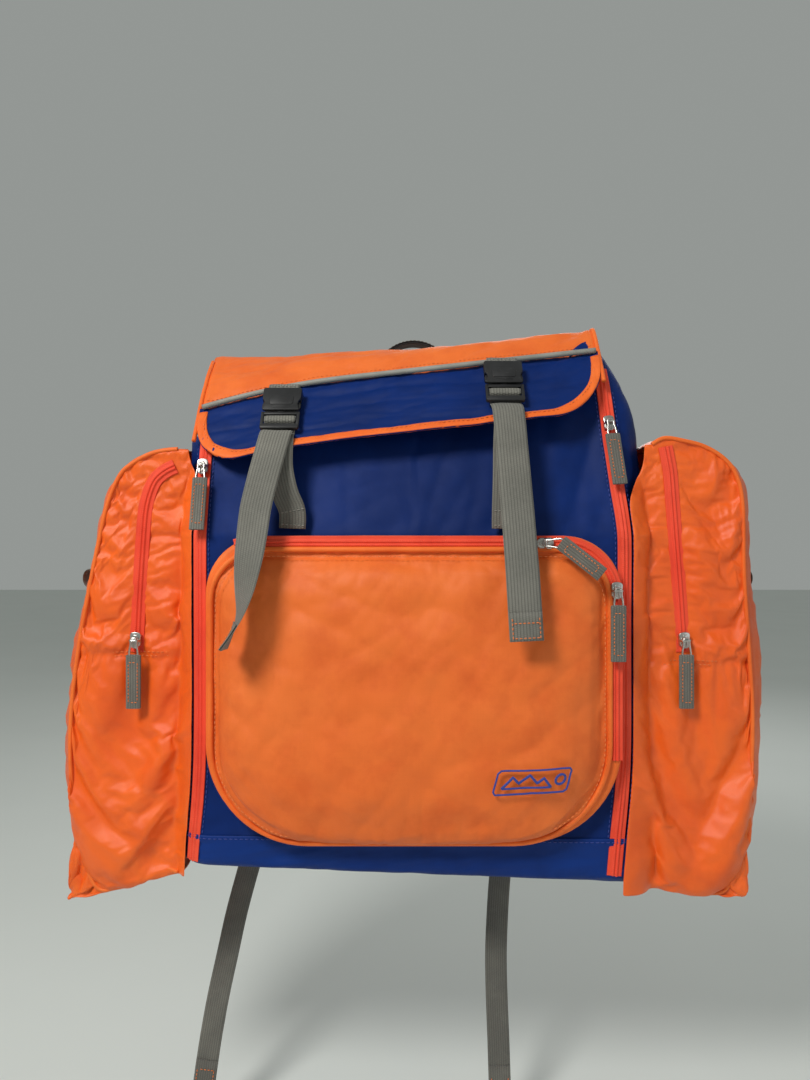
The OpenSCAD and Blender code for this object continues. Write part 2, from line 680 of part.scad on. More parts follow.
slider(slider_b[0], slider_b[1], slider_b[2]);  // pocket_slider_b
pull(slider_a[0], slider_a[1], slider_a[2], -90, 38, 21);  // pocket_pull_a
pull(slider_b[0], slider_b[1], slider_b[2]);  // pocket_pull_b
slider(side_slide_x[0], side_front, side_slide_z, -zip_lean(LEFT));  // left_pocket_slider
slider(side_slide_x[1], side_front, side_slide_z, -zip_lean(RIGHT));  // right_pocket_slider
pull(side_slide_x[0], side_front, side_slide_z);  // left_pocket_pull
pull(side_slide_x[1], side_front, side_slide_z);  // right_pocket_pull
side_slider(LEFT);  // left_side_slider
side_slider(RIGHT);  // right_side_slider
side_pull(LEFT);  // left_side_pull
side_pull(RIGHT);  // right_side_pull
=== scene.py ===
import math
from math import cos, pi, radians, sin, sqrt

import bpy
import numpy as np
from mathutils import Matrix, Vector, noise


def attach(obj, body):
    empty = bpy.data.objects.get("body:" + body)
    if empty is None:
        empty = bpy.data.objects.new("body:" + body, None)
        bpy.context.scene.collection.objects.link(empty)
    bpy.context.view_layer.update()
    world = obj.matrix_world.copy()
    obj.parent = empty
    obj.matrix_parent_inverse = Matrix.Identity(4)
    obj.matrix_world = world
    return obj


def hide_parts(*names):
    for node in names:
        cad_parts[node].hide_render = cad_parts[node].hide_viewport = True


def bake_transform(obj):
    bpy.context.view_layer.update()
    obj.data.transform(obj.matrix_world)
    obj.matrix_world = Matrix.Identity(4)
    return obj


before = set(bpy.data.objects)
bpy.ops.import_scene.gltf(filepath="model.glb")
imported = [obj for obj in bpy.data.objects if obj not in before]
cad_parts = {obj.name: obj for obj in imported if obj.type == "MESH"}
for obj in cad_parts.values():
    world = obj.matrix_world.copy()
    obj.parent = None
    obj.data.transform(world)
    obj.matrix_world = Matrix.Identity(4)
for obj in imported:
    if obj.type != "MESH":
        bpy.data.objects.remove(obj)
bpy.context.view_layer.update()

MM = 0.001
LEFT, RIGHT = -1, 1


def hand(side):
    return "left" if side < 0 else "right"


def pick(pair, side):
    return pair[0] if side < 0 else pair[1]


def lerp(a, b, t):
    return a + (b - a) * t


def clamp(x, low=0.0, high=1.0):
    return max(low, min(high, x))


def ease(x):
    x = clamp(x)
    return x * x * (3 - 2 * x)


# ---------------------------------------------------------------- camera, light, floor

camera = bpy.data.cameras.new("camera")
camera.sensor_width = 36
camera.lens = 27.03
camera.clip_start = 0.01
camera_object = bpy.data.objects.new("camera", camera)
camera_object.location = (-0.008, -0.76, -0.182)
camera_object.rotation_euler = (radians(90), 0, 0)
bpy.context.scene.collection.objects.link(camera_object)
bpy.context.scene.camera = camera_object


def soft_light(name, place, aim, size, power, colour):
    data = bpy.data.lights.new(name, "AREA")
    data.shape = "DISK"
    data.size = size
    data.energy = power
    data.color = colour
    lamp = bpy.data.objects.new(name, data)
    lamp.location = place
    lamp.rotation_euler = (Vector(aim) - Vector(place)).to_track_quat("-Z", "Y").to_euler()
    bpy.context.scene.collection.objects.link(lamp)


CENTRE = (0, -0.08, -0.26)
soft_light("key", (-0.75, -1.25, 0.85), CENTRE, 0.5, 24, (1.0, 0.985, 0.95))
soft_light("fill", (1.3, -1.2, -0.1), CENTRE, 1.4, 3, (0.93, 0.97, 1.0))
soft_light("back_fill", (0.6, 1.5, 0.9), CENTRE, 1.2, 9, (1.0, 1.0, 1.0))

bpy.context.scene.view_settings.view_transform = "Standard"
world = bpy.data.worlds.new("studio")
world.use_nodes = True
world.node_tree.nodes["Background"].inputs["Color"].default_value = (0.70, 0.74, 0.71, 1)
world.node_tree.nodes["Background"].inputs["Strength"].default_value = 0.42
bpy.context.scene.world = world


# ---------------------------------------------------------------- materials

class Nodes:
    """Small helper that adds and links shader nodes of one material."""

    def __init__(self, name):
        self.mat = bpy.data.materials.new(name)
        self.mat.use_nodes = True
        self.tree = self.mat.node_tree
        self.bsdf = self.tree.nodes["Principled BSDF"]

    def add(self, kind, **settings):
        node = self.tree.nodes.new("ShaderNode" + kind)
        for key, value in settings.items():
            if key in node.bl_rna.properties:
                setattr(node, key, value)
        return node

    def feed(self, socket, value):
        if isinstance(value, bpy.types.NodeSocket):
            self.tree.links.new(value, socket)
        else:
            socket.default_value = value

    def math(self, operation, a, b=0.0, c=0.0, clamped=False):
        node = self.add("Math", operation=operation, use_clamp=clamped)
        for socket, value in zip(node.inputs, (a, b, c)):
            self.feed(socket, value)
        return node.outputs[0]

    def ramp(self, value, low, high, to_low=0.0, to_high=1.0):
        node = self.add("MapRange")
        for socket, v in zip(node.inputs, (value, low, high, to_low, to_high)):
            self.feed(socket, v)
        return node.outputs[0]

    def mix(self, factor, a, b, blend="MIX"):
        node = self.add("Mix", data_type="RGBA", blend_type=blend)
        self.feed(node.inputs[0], factor)
        self.feed(node.inputs[6], a)
        self.feed(node.inputs[7], b)
        return node.outputs[2]

    def noise(self, vector, scale, detail=3.0, rough=0.55, stretch=None, distortion=0.0):
        if stretch:
            mapping = self.add("Mapping")
            self.feed(mapping.inputs["Vector"], vector)
            mapping.inputs["Scale"].default_value = stretch
            vector = mapping.outputs[0]
        node = self.add("TexNoise")
        self.feed(node.inputs["Vector"], vector)
        for key, v in (("Scale", scale), ("Detail", detail), ("Roughness", rough), ("Distortion", distortion)):
            node.inputs[key].default_value = v
        return node.outputs["Fac"]

    def space(self):
        return self.add("TexCoord").outputs["Object"]

    def cloth_uv(self):
        node = self.add("UVMap")
        node.uv_map = "Cloth"
        split = self.add("SeparateXYZ")
        self.feed(split.inputs[0], node.outputs[0])
        return node.outputs[0], split.outputs[0], split.outputs[1]

    def finish(self, colour, rough, height=None, strength=0.4, distance=0.0002, **fixed):
        self.feed(self.bsdf.inputs["Base Color"], colour)
        self.feed(self.bsdf.inputs["Roughness"], rough)
        if height is not None:
            bump = self.add("Bump")
            bump.inputs["Strength"].default_value = strength
            bump.inputs["Distance"].default_value = distance
            self.feed(bump.inputs["Height"], height)
            self.feed(self.bsdf.inputs["Normal"], bump.outputs[0])
        for key, value in fixed.items():
            self.bsdf.inputs[key.replace("_", " ")].default_value = value
        return self.mat


def rgb(r, g, b):
    """Linear colour from 8-bit display values."""
    def linear(c):
        c /= 255
        return c / 12.92 if c <= 0.04045 else ((c + 0.055) / 1.055) ** 2.4
    return (linear(r), linear(g), linear(b), 1)


def shade(colour, factor):
    return tuple(min(1.0, c * factor) for c in colour[:3]) + (1,)


def woven(name, colour, deep, pale, thread=0.5, rough=0.5, sheen=0.25, crinkle=0.5, contrast=0.3, gloss=0.3):
    """Plain-woven cloth: over-and-under threads with painted shade in the gaps between them, uneven dye, rubbed patches
    and small crinkles.
    """
    n = Nodes(name)
    vector, u, v = n.cloth_uv()
    count = 1000 / thread
    across = n.math("ABSOLUTE", n.math("SINE", n.math("MULTIPLY", u, pi * count)))
    along = n.math("ABSOLUTE", n.math("SINE", n.math("MULTIPLY", v, pi * count)))
    over = n.math("GREATER_THAN", n.math("MULTIPLY", n.math("SINE", n.math("MULTIPLY", u, pi * count)),
                                         n.math("SINE", n.math("MULTIPLY", v, pi * count))), 0.0)
    weave = n.math("ADD", n.math("MULTIPLY", across, over),
                   n.math("MULTIPLY", along, n.math("SUBTRACT", 1.0, over)))
    space = n.space()
    slub = n.noise(vector, 1.0, 2.0, stretch=(30, 1600, 1))
    slub_b = n.noise(vector, 1.0, 2.0, stretch=(1600, 30, 1))
    broad = n.noise(space, 7.0, 3.0, 0.6)
    mottle = n.noise(space, 38.0, 4.0, 0.6)
    fine = n.noise(space, 420.0, 3.0, 0.6)
    tint = n.mix(n.ramp(broad, 0.38, 0.66), colour, pale)
    tint = n.mix(n.ramp(mottle, 0.45, 0.75, 0.0, 0.5), tint, deep)
    # Painted shade: darker where the weave is low, in the gaps between the threads; darker along thin slubs is the
    # yarn's own tone.
    gap_shade_and_slub = n.math("ADD", n.math("MULTIPLY", weave, contrast), n.math("MULTIPLY",
                          n.math("ADD", slub, slub_b), contrast * 0.5))
    tint = n.mix(n.ramp(gap_shade_and_slub, 0.0, contrast * 1.6, contrast, 0.0), tint, shade(deep, 0.6))
    roughness = n.ramp(n.math("ADD", mottle, n.math("MULTIPLY", fine, 0.5)), 0.5, 1.0, rough - 0.07, rough + 0.09)
    height = n.math("ADD", n.math("MULTIPLY", weave, 0.5), n.math("MULTIPLY", n.noise(space, 150.0, 4.0, 0.6),
                    crinkle * 3))
    return n.finish(tint, roughness, height, 0.35, 0.00022, Sheen_Weight=sheen, Sheen_Roughness=0.45,
                    Specular_IOR_Level=gloss)


def ribbed(name, colour, deep, pale, column=2.3, rib=1.5, rough=0.75):
    """Webbing: columns of thick yarn along the band, each crossed by staggered ribs, with painted shade in the grooves
    between them.
    """
    n = Nodes(name)
    vector, u, v = n.cloth_uv()
    columns = n.math("MULTIPLY", u, 1000 / column)
    cell = n.math("FLOOR", columns)
    stagger = n.math("MULTIPLY", n.math("MODULO", cell, 2.0), 0.5)
    crown = n.math("ABSOLUTE", n.math("SINE", n.math("MULTIPLY", columns, pi)))
    ribs = n.math("ABSOLUTE", n.math("SINE", n.math("MULTIPLY", n.math("ADD", n.math(
        "MULTIPLY", v, 1000 / rib), stagger), pi)))
    weave = n.math("MULTIPLY", n.math("POWER", crown, 0.6), n.math("ADD", 0.45, n.math("MULTIPLY", ribs, 0.55)))
    space = n.space()
    yarn = n.noise(vector, 1.0, 2.0, stretch=(2200, 300, 1))
    broad = n.noise(space, 26.0, 3.0, 0.6)
    tint = n.mix(n.ramp(broad, 0.35, 0.7), colour, pale)
    # Painted shade: darker in the low grooves between the yarn columns and ribs.
    tint = n.mix(n.ramp(weave, 0.1, 0.75, 0.75, 0.0), tint, deep)
    tint = n.mix(n.ramp(yarn, 0.4, 0.75, 0.0, 0.35), tint, pale)
    return n.finish(tint, n.ramp(broad, 0.2, 0.8, rough - 0.08, rough + 0.08), n.math(
        "ADD", weave, n.math("MULTIPLY", yarn, 0.3)), 0.8, 0.0004, Sheen_Weight=0.2, Sheen_Roughness=0.5,
        Specular_IOR_Level=0.3)


def moulded(name, colour, rough=0.42):
    """Injection-moulded plastic: faint spark texture, paler scuffs and hairline scratches."""
    n = Nodes(name)
    space = n.space()
    grain = n.noise(space, 2600.0, 2.0, 0.5)
    patch = n.noise(space, 60.0, 4.0, 0.6)
    scratch = n.noise(space, 300.0, 3.0, 0.7, stretch=(1, 9, 0.6), distortion=0.4)
    tint = n.mix(n.ramp(patch, 0.5, 0.8, 0.0, 0.55), colour, shade(colour, 2.4))
    tint = n.mix(n.ramp(scratch, 0.66, 0.74, 0.0, 0.5), tint, (0.16, 0.16, 0.16, 1))
    roughness = n.ramp(n.math("ADD", patch, n.math("MULTIPLY", grain, 0.3)), 0.4, 1.0, rough - 0.08, rough + 0.14)
    return n.finish(tint, roughness, n.math("ADD", grain, n.math("MULTIPLY", scratch, 0.5)), 0.12, 0.0001,
                    Specular_IOR_Level=0.5)


def plated(name, colour, rough=0.27):
    """Plated zinc: bright, with dull handling marks and small dark pits."""
    n = Nodes(name)
    space = n.space()
    wear = n.noise(space, 240.0, 4.0, 0.65)
    pits = n.noise(space, 1500.0, 2.0, 0.5)
    tint = n.mix(n.ramp(wear, 0.45, 0.75), colour, shade(colour, 0.55))
    tint = n.mix(n.ramp(pits, 0.66, 0.76, 0.0, 0.7), tint, (0.12, 0.11, 0.10, 1))
    return n.finish(tint, n.ramp(wear, 0.3, 0.8, rough - 0.07, rough + 0.2), n.math(
        "ADD", wear, n.math("MULTIPLY", pits, 0.5)), 0.1, 0.00012, Metallic=1.0)


def thread_mat(name, colour):
    """Twisted sewing thread."""
    n = Nodes(name)
    space = n.space()
    ply = n.noise(space, 1800.0, 2.0, 0.5)
    tint = n.mix(n.ramp(ply, 0.3, 0.7), shade(colour, 0.65), shade(colour, 1.2))
    return n.finish(tint, n.ramp(ply, 0.2, 0.8, 0.5, 0.7), ply, 0.3, 0.0001, Sheen_Weight=0.2)


def spacer(name, colour, pale):
    """Spacer mesh: rows of open cells, painted dark inside as shade in their hollows."""
    n = Nodes(name)
    vector, u, v = n.cloth_uv()
    cells = n.add("TexVoronoi", feature="F1")
    mapping = n.add("Mapping")
    n.feed(mapping.inputs["Vector"], vector)
    mapping.inputs["Scale"].default_value = (330, 420, 1)
    n.feed(cells.inputs["Vector"], mapping.outputs[0])
    cells.inputs["Scale"].default_value = 1.0
    cells.inputs["Randomness"].default_value = 0.25
    hole = n.ramp(cells.outputs["Distance"], 0.28, 0.46)
    space = n.space()
    broad = n.noise(space, 18.0, 3.0, 0.6)
    tint = n.mix(n.ramp(broad, 0.35, 0.7), colour, pale)
    # Painted shade: the open cells are painted a quarter as bright as the mesh.
    tint = n.mix(hole, shade(colour, 0.25), tint)
    return n.finish(tint, n.ramp(broad, 0.2, 0.8, 0.78, 0.92), hole, 0.9, 0.0008, Sheen_Weight=0.3,
                    Sheen_Roughness=0.5, Specular_IOR_Level=0.25)


ORANGE = rgb(233, 108, 40)
ORANGE_DEEP = rgb(208, 82, 24)
ORANGE_PALE = rgb(240, 120, 50)
BLUE = rgb(4, 36, 98)
MAT = {
    "pocket": woven("pocket_cloth", ORANGE, ORANGE_DEEP, ORANGE_PALE, 0.62, 0.5, 0.06, 0.3),
    "nylon": woven("side_cloth", rgb(242, 98, 24), rgb(218, 76, 14), rgb(248, 110, 32), 0.42, 0.36, 0.02, 0.35,
                   gloss=0.42),
    "lid": woven("lid_cloth", rgb(234, 106, 36), ORANGE_DEEP, ORANGE_PALE, 0.5, 0.42, 0.05, 0.3),
    "blue": woven("blue_cloth", BLUE, rgb(3, 27, 78), rgb(6, 43, 114), 0.45, 0.5, 0.0, 0.2, gloss=0.14),
    "base": woven("base_cloth", rgb(12, 46, 116), rgb(8, 34, 92), rgb(10, 50, 124), 0.45, 0.46, 0.0, 0.4, gloss=0.16),
    "back": woven("back_cloth", rgb(12, 36, 96), rgb(8, 24, 70), rgb(12, 42, 106), 0.6, 0.5, 0.03, 0.4, gloss=0.2),
    "coral": woven("zip_tape", rgb(240, 72, 44), rgb(206, 48, 26), rgb(246, 88, 58), 0.7, 0.5, 0.05, 0.2),
    "trim": woven("orange_trim", rgb(242, 108, 36), rgb(212, 80, 22), rgb(248, 124, 50), 0.7, 0.5, 0.05, 0.3),
    "reflect": woven("grey_piping", rgb(138, 138, 131), rgb(108, 108, 101), rgb(160, 160, 152), 0.5, 0.4, 0.05, 0.3),
    "web": ribbed("grey_webbing", rgb(106, 105, 98), rgb(60, 59, 54), rgb(126, 124, 116)),
    "web_dark": ribbed("dark_webbing", rgb(98, 96, 90), rgb(52, 51, 47), rgb(120, 118, 110), 2.0, 1.4),
    "web_black": ribbed("black_webbing", rgb(34, 34, 36), rgb(14, 14, 15), rgb(52, 52, 54), 2.2, 1.4),
    "binding": woven("black_binding", rgb(36, 37, 42), rgb(18, 18, 22), rgb(52, 53, 58), 0.8, 0.65, 0.2, 0.5),
    "plastic": moulded("black_plastic", (0.012, 0.012, 0.013, 1)),
    "metal": plated("silver_metal", rgb(205, 203, 198)),
    "brass": plated("eyelet_metal", rgb(190, 190, 186), 0.32),
    "thread": thread_mat("orange_thread", rgb(244, 124, 52)),
    "thread_blue": thread_mat("blue_thread", rgb(38, 60, 150)),
    "thread_grey": thread_mat("grey_thread", rgb(150, 148, 140)),
    "mesh": spacer("spacer_mesh", rgb(58, 59, 62), rgb(84, 85, 88)),
    "lining": woven("lining", rgb(58, 58, 62), rgb(34, 34, 38), rgb(74, 74, 78), 0.5, 0.6, 0.1, 0.5),
}


# ---------------------------------------------------------------- mesh helpers

def spline(points, steps):
    """Catmull-Rom curve through points or numbers, with steps stretches between each two."""
    p = np.asarray(points, float)
    last = len(p) - 1
    out = []
    for i in range(last):
        a, b, c, d = p[max(i - 1, 0)], p[i], p[i + 1], p[min(i + 2, last)]
        for k in range(steps):
            t = k / steps
            out.append(0.5 * (2 * b + (c - a) * t + (2 * a - 5 * b + 4 * c - d) * t * t
                              + (3 * b - a - 3 * c + d) * t ** 3))
    out.append(p[last])
    return np.array(out)


def table(points, steps=10):
    """Smooth function through [x, y] points whose x rises."""
    dense = spline(points, steps)
    return lambda x: float(np.interp(x, dense[:, 0], dense[:, 1]))


def unit(v):
    return v / max(1e-9, np.linalg.norm(v))


def resample(path, step):
    """Points every step along a dense path, and how far along each one is."""
    path = np.asarray(path, float)
    far = np.concatenate([[0], np.cumsum(np.linalg.norm(np.diff(path, axis=0), axis=1))])
    count = max(2, int(round(far[-1] / step)) + 1)
    at = np.linspace(0, far[-1], count)
    return np.stack([np.interp(at, far, path[:, k]) for k in range(path.shape[1])], 1), at


SETTLING = []


def settle(frames):
    """Runs the cloth simulation of every piece that asked for one, and keeps its result as the piece's mesh."""
    if not SETTLING:
        return
    scene = bpy.context.scene
    before = {}
    for obj, (pins, how) in SETTLING:
        mesh = obj.data
        group = obj.vertex_groups.new(name="held")
        for k, weight in enumerate(pins):
            if weight > 0:
                group.add([k], float(weight), "REPLACE")
        for other in obj.modifiers:
            other.show_viewport = False
        mod = obj.modifiers.new("cloth", "CLOTH")
        obj.modifiers.move(len(obj.modifiers) - 1, 0)
        s = mod.settings
        s.quality = how.get("quality", 6)
        s.mass = 0.12
        s.vertex_group_mass = "held"
        s.pin_stiffness = 1.0
        s.tension_stiffness = s.compression_stiffness = how.get("stretch", 18)
        s.shear_stiffness = how.get("shear", 4)
        s.bending_stiffness = how.get("bend", 0.12)
        s.tension_damping = s.compression_damping = s.shear_damping = 12
        s.bending_damping = 1.5
        s.air_damping = 3
        s.shrink_min = s.shrink_max = how.get("shrink", -0.05)
        s.use_pressure = True
        s.uniform_pressure_force = how.get("pressure", 1.0)
        s.effector_weights.gravity = how.get("gravity", 0.3)
        mod.collision_settings.use_collision = False
        mod.point_cache.frame_start, mod.point_cache.frame_end = 1, frames
        before[obj.name] = np.array([v.co for v in mesh.vertices])
    for k in range(1, frames + 1):
        scene.frame_set(k)
    depsgraph = bpy.context.evaluated_depsgraph_get()
    found = {}
    for obj, (pins, how) in SETTLING:
        shown = obj.evaluated_get(depsgraph).to_mesh()
        found[obj.name] = np.array([v.co for v in shown.vertices])
    for obj, (pins, how) in SETTLING:
        move = found[obj.name] - before[obj.name]
        size = np.linalg.norm(move, axis=1, keepdims=True)
        cap = how.get("cap", 10) * MM
        move *= np.minimum(1, cap / np.maximum(size, 1e-9))
        after = before[obj.name] + move
        low, high = how.get("low"), how.get("high")
        if low is not None:
            after[:, 1] = np.maximum(after[:, 1], low * MM)
        if high is not None:
            after[:, 1] = np.minimum(after[:, 1], np.array(high) * MM)
        obj.modifiers.remove(obj.modifiers["cloth"])
        for other in obj.modifiers:
            other.show_viewport = True
        obj.vertex_groups.remove(obj.vertex_groups["held"])
        obj.data.vertices.foreach_set("co", after.astype(np.float32).ravel())
        obj.data.update()
    scene.frame_set(1)


class Mesh:
    """Vertices in millimetres, faces, cloth coordinates in metres and a material for each face."""

    def __init__(self, place=None):
        self.place = place or Matrix()
        self.points, self.faces, self.uv, self.mats = [], [], [], []

    def add(self, points, faces, uv=None, mat=0):
        base = len(self.points)
        for p in points:
            self.points.append(tuple(self.place @ Vector([float(c) for c in p])))
        self.uv.extend(uv if uv is not None else [(p[0] * MM, p[2] * MM) for p in points])
        self.faces.extend([tuple(base + i for i in f) for f in faces])
        self.mats.extend([mat] * len(faces))
        return self

    def grid(self, P, mat=0, loop=False, flip=False, uv_offset=(0, 0)):
        """Quads through rows of points; cloth coordinates follow the middle row and column."""
        P = np.asarray(P, float)
        rows, cols = P.shape[:2]
        mid_row, mid_col = P[rows // 2], P[:, cols // 2]
        u = np.concatenate([[0], np.cumsum(np.linalg.norm(np.diff(mid_row, axis=0), axis=1))]) * MM + uv_offset[0]
        v = np.concatenate([[0], np.cumsum(np.linalg.norm(np.diff(mid_col, axis=0), axis=1))]) * MM + uv_offset[1]
        faces = []
        for j in range(rows - 1):
            for i in range(cols if loop else cols - 1):
                k = (i + 1) % cols
                f = (j * cols + i, j * cols + k, (j + 1) * cols + k, (j + 1) * cols + i)
                faces.append(f[::-1] if flip else f)
        return self.add(P.reshape(-1, 3), faces, [(u[i], v[j]) for j in range(rows) for i in range(cols)], mat)

    def box(self, lo, hi, mat=0):
        corners = [(x, y, z) for z in (lo[2], hi[2]) for y in (lo[1], hi[1]) for x in (lo[0], hi[0])]
        return self.add(corners, [(0, 2, 3, 1), (4, 5, 7, 6), (0, 1, 5, 4), (1, 3, 7, 5), (3, 2, 6, 7), (2, 0, 4, 6)],
                        mat=mat)

    def prism(self, outline, y0, y1, mat=0):
        """Outline in x and z, counter-clockwise seen from -Y, between two depths y0 < y1."""
        n = len(outline)
        points = [(x, y0, z) for x, z in outline] + [(x, y1, z) for x, z in outline]
        faces = [tuple(range(n)), tuple(range(2 * n - 1, n - 1, -1))]
        faces += [((i + 1) % n, i, n + i, n + (i + 1) % n) for i in range(n)]
        return self.add(points, faces, mat=mat)

    def tube(self, path, radius, sides=8, closed=False, mat=0, squash=1.0, cap=True):
        """Round cord along a path; radius may be a number or one for each point."""
        path = np.asarray(path, float)
        m = len(path)
        radii = np.full(m, radius) if np.isscalar(radius) else np.asarray(radius, float)
        up = np.array([0.0, -1.0, 0.0])
        points, uv, far = [], [], 0.0
        for j in range(m):
            ahead = path[(j + 1) % m] if closed or j < m - 1 else path[j]
            back = path[j - 1] if closed or j > 0 else path[j]
            d = unit(ahead - back)
            if abs(d @ up) > 0.95:
                up = np.array([1.0, 0.0, 0.0]) if abs(d[0]) < 0.9 else np.array([0.0, 0.0, 1.0])
            s = unit(np.cross(d, up))
            w = np.cross(s, d)
            if j:
                far += np.linalg.norm(path[j] - path[j - 1])
            for i in range(sides):
                a = 2 * pi * i / sides
                points.append(path[j] + (s * cos(a) + w * sin(a) * squash) * radii[j])
                uv.append((radii[j] * a * MM, far * MM))
        faces = []
        for j in range(m if closed else m - 1):
            k = (j + 1) % m
            faces += [(j * sides + i, j * sides + (i + 1) % sides, k * sides + (i + 1) % sides, k * sides + i)
                      for i in range(sides)]
        if cap and not closed:
            faces += [tuple(range(sides - 1, -1, -1)), tuple(range((m - 1) * sides, m * sides))]
        return self.add(points, faces, uv, mat)

    def stitches(self, path, outs, length=2.6, gap=1.3, radius=0.36, mat=0, lift=0.12):
        """Row of sewn stitches along a path; each dips into the cloth at its ends."""
        both = np.concatenate([np.asarray(path, float), np.asarray(outs, float)], 1)
        both, at = resample(both, 0.5)
        count = int(at[-1] // (length + gap))
        for k in range(count):
            start = k * (length + gap) + gap / 2
            stations = []
            for t, r, h in ((0, 0.35, -0.25), (0.25, 1, 0.0), (0.75, 1, 0.0), (1, 0.35, -0.25)):
                row = np.array([np.interp(start + t * length, at, both[:, c]) for c in range(6)])
                stations.append((row[:3] + unit(row[3:]) * (lift + radius * 0.4 + h), unit(row[3:]), r * radius))
            d = unit(stations[3][0] - stations[0][0])
            ring = []
            for centre, out, r in stations:
                s = unit(np.cross(d, out))
                ring += [centre + (s * cos(a) + out * sin(a)) * r for a in (0, pi / 2.5, pi - pi / 2.5, pi, 1.5 * pi)]
            n = 5
            faces = [(j * n + i, j * n + (i + 1) % n, (j + 1) * n + (i + 1) % n, (j + 1) * n + i)
                     for j in range(3) for i in range(n)]
            faces += [tuple(range(n - 1, -1, -1)), tuple(range(3 * n, 4 * n))]
            self.add(ring, faces, [(0.0, 0.0)] * len(ring), mat)
        return self

    def done(self, name, mats, body, swaps=(), thick=0, cloth=None, bevel=0, segments=3, crease=35, sub=0,
             ride=True, outward=-1):
        mats = [mats] if isinstance(mats, str) else mats
        mesh = bpy.data.meshes.new(name)
        mesh.from_pydata([tuple(c * MM for c in p) for p in self.points], [], self.faces)
        layer = mesh.uv_layers.new(name="Cloth")
        index = np.zeros(len(mesh.loops), np.int32)
        mesh.loops.foreach_get("vertex_index", index)
        layer.data.foreach_set("uv", np.asarray(self.uv, np.float32)[index].ravel())
        for key in mats:
            mesh.materials.append(MAT[key])
        mesh.polygons.foreach_set("material_index", np.asarray(self.mats, np.int32))
        mesh.polygons.foreach_set("use_smooth", [True] * len(mesh.polygons))
        mesh.update()
        obj = bpy.data.objects.new(name, mesh)
        bpy.context.scene.collection.objects.link(obj)
        if cloth:
            SETTLING.append((obj, cloth))
        if thick:
            solid = obj.modifiers.new("thickness", "SOLIDIFY")
            solid.thickness = thick * MM
            solid.offset = outward
        if bevel:
            mesh.set_sharp_from_angle(angle=radians(crease))
            edge = obj.modifiers.new("edges", "BEVEL")
            edge.width = bevel * MM
            edge.segments = segments
            edge.limit_method = "ANGLE"
            edge.angle_limit = radians(crease)
            edge.harden_normals = False
            mesh.polygons.foreach_set("use_smooth", [True] * len(mesh.polygons))
            for e in mesh.edges:
                e.use_edge_sharp = False
        if sub:
            finer = obj.modifiers.new("finer", "SUBSURF")
            finer.levels = finer.render_levels = sub
        if ride:
            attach(obj, body)
        if swaps:
            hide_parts(*swaps)
        return obj


def normals(P):
    """Unit normal at each point of a grid."""
    du = np.gradient(P, axis=1)
    dv = np.gradient(P, axis=0)
    n = np.cross(du, dv)
    return n / np.maximum(1e-9, np.linalg.norm(n, axis=2, keepdims=True))


def facing(P, centre):
    """Normals turned away from a centre, and whether the grid's faces must be flipped for that."""
    n = normals(P)
    sign = np.sum(n * (P - np.asarray(centre, float)))
    return (n, False) if sign > 0 else (-n, True)


def ripple(x, y, z=0.0):
    return noise.noise(Vector((x, y, z)))


def folds(a, b, length, spacing, seed, sharp=2.0):
    """Height from 0 to 1 of soft folds that run along a and repeat across b."""
    warp = ripple(a / length * 0.7, b / spacing * 0.3, seed + 5.1) * 0.9
    n = ripple(a / length, b / spacing + warp, seed)
    crest = (1 - min(1.0, abs(n) * 2.2)) ** sharp
    m = ripple(a / length * 1.9 + 4, b / spacing * 2.1 + 9, seed + 2.3)
    return clamp(crest * 0.75 + (1 - min(1.0, abs(m) * 2.4)) ** sharp * 0.35)


def turned(x, z, degrees):
    """Coordinates along and across a direction that leans from +X towards +Z."""
    a = radians(degrees)
    return x * cos(a) + z * sin(a), -x * sin(a) + z * cos(a)


# ---------------------------------------------------------------- webbing

def web_frames(route, leans, steps=6):
    """Dense path of a flat band, with its across and outward directions."""
    path, lean = spline(route, steps), spline(leans, steps)
    out = []
    for i in range(len(path)):
        d = unit(path[min(i + 1, len(path) - 1)] - path[max(i - 1, 0)])
        flat = np.array([cos(radians(lean[i])), -sin(radians(lean[i])), 0.0])
        s = unit(flat - d * (flat @ d))
        out.append((path[i], s, unit(np.cross(s, d)) if np.cross(s, d)[1] <= 0 else unit(np.cross(d, s))))
    for k in range(1, len(out)):
        if out[k][2] @ out[k - 1][2] < 0:
            out[k] = (out[k][0], out[k][1], -out[k][2])
    return out


def web(mesh, frames, w, t, mat=0, lift=0.0, cup=0.0, wave=0.0, seed=0.0):
    """Adds a flat woven band with rounded selvedges along frames; cup bows it, wave ripples it."""
    across = 10
    half = w / 2
    ring_u = [-half + w * k / across for k in range(across + 1)]
    top = [(u, t / 2 * (1 - 0.75 * abs(u / half) ** 10)) for u in ring_u]
    ring = top + [(u, -h) for u, h in reversed(top)]
    n = len(ring)
    points, uv, far = [], [], 0.0
    for j, (p, s, o) in enumerate(frames):
        if j:
            far += np.linalg.norm(p - frames[j - 1][0])
        for u, h in ring:
            bow = cup * (1 - (u / half) ** 2) + wave * ripple(u / 14, far / 17, seed)
            points.append(p + s * u + o * (h + lift + bow))
            uv.append((u * MM, far * MM))
    m = len(frames)
    faces = [(j * n + i, (j + 1) * n + i, (j + 1) * n + (i + 1) % n, j * n + (i + 1) % n)
             for j in range(m - 1) for i in range(n)]
    faces += [tuple(range(n)), tuple(range(m * n - 1, (m - 1) * n - 1, -1))]
    a, b = frames[0], frames[1]
    handed = np.cross(a[1], a[2]) @ (b[0] - a[0])
    if handed > 0:
        faces = [f[::-1] for f in faces]
    return mesh.add(points, faces, uv, mat)


def on_band(frames, across, lift):
    """Path on a band, that far across it and above it, with its outward directions."""
    return [p + s * across + o * lift for p, s, o in frames], [o for p, s, o in frames]


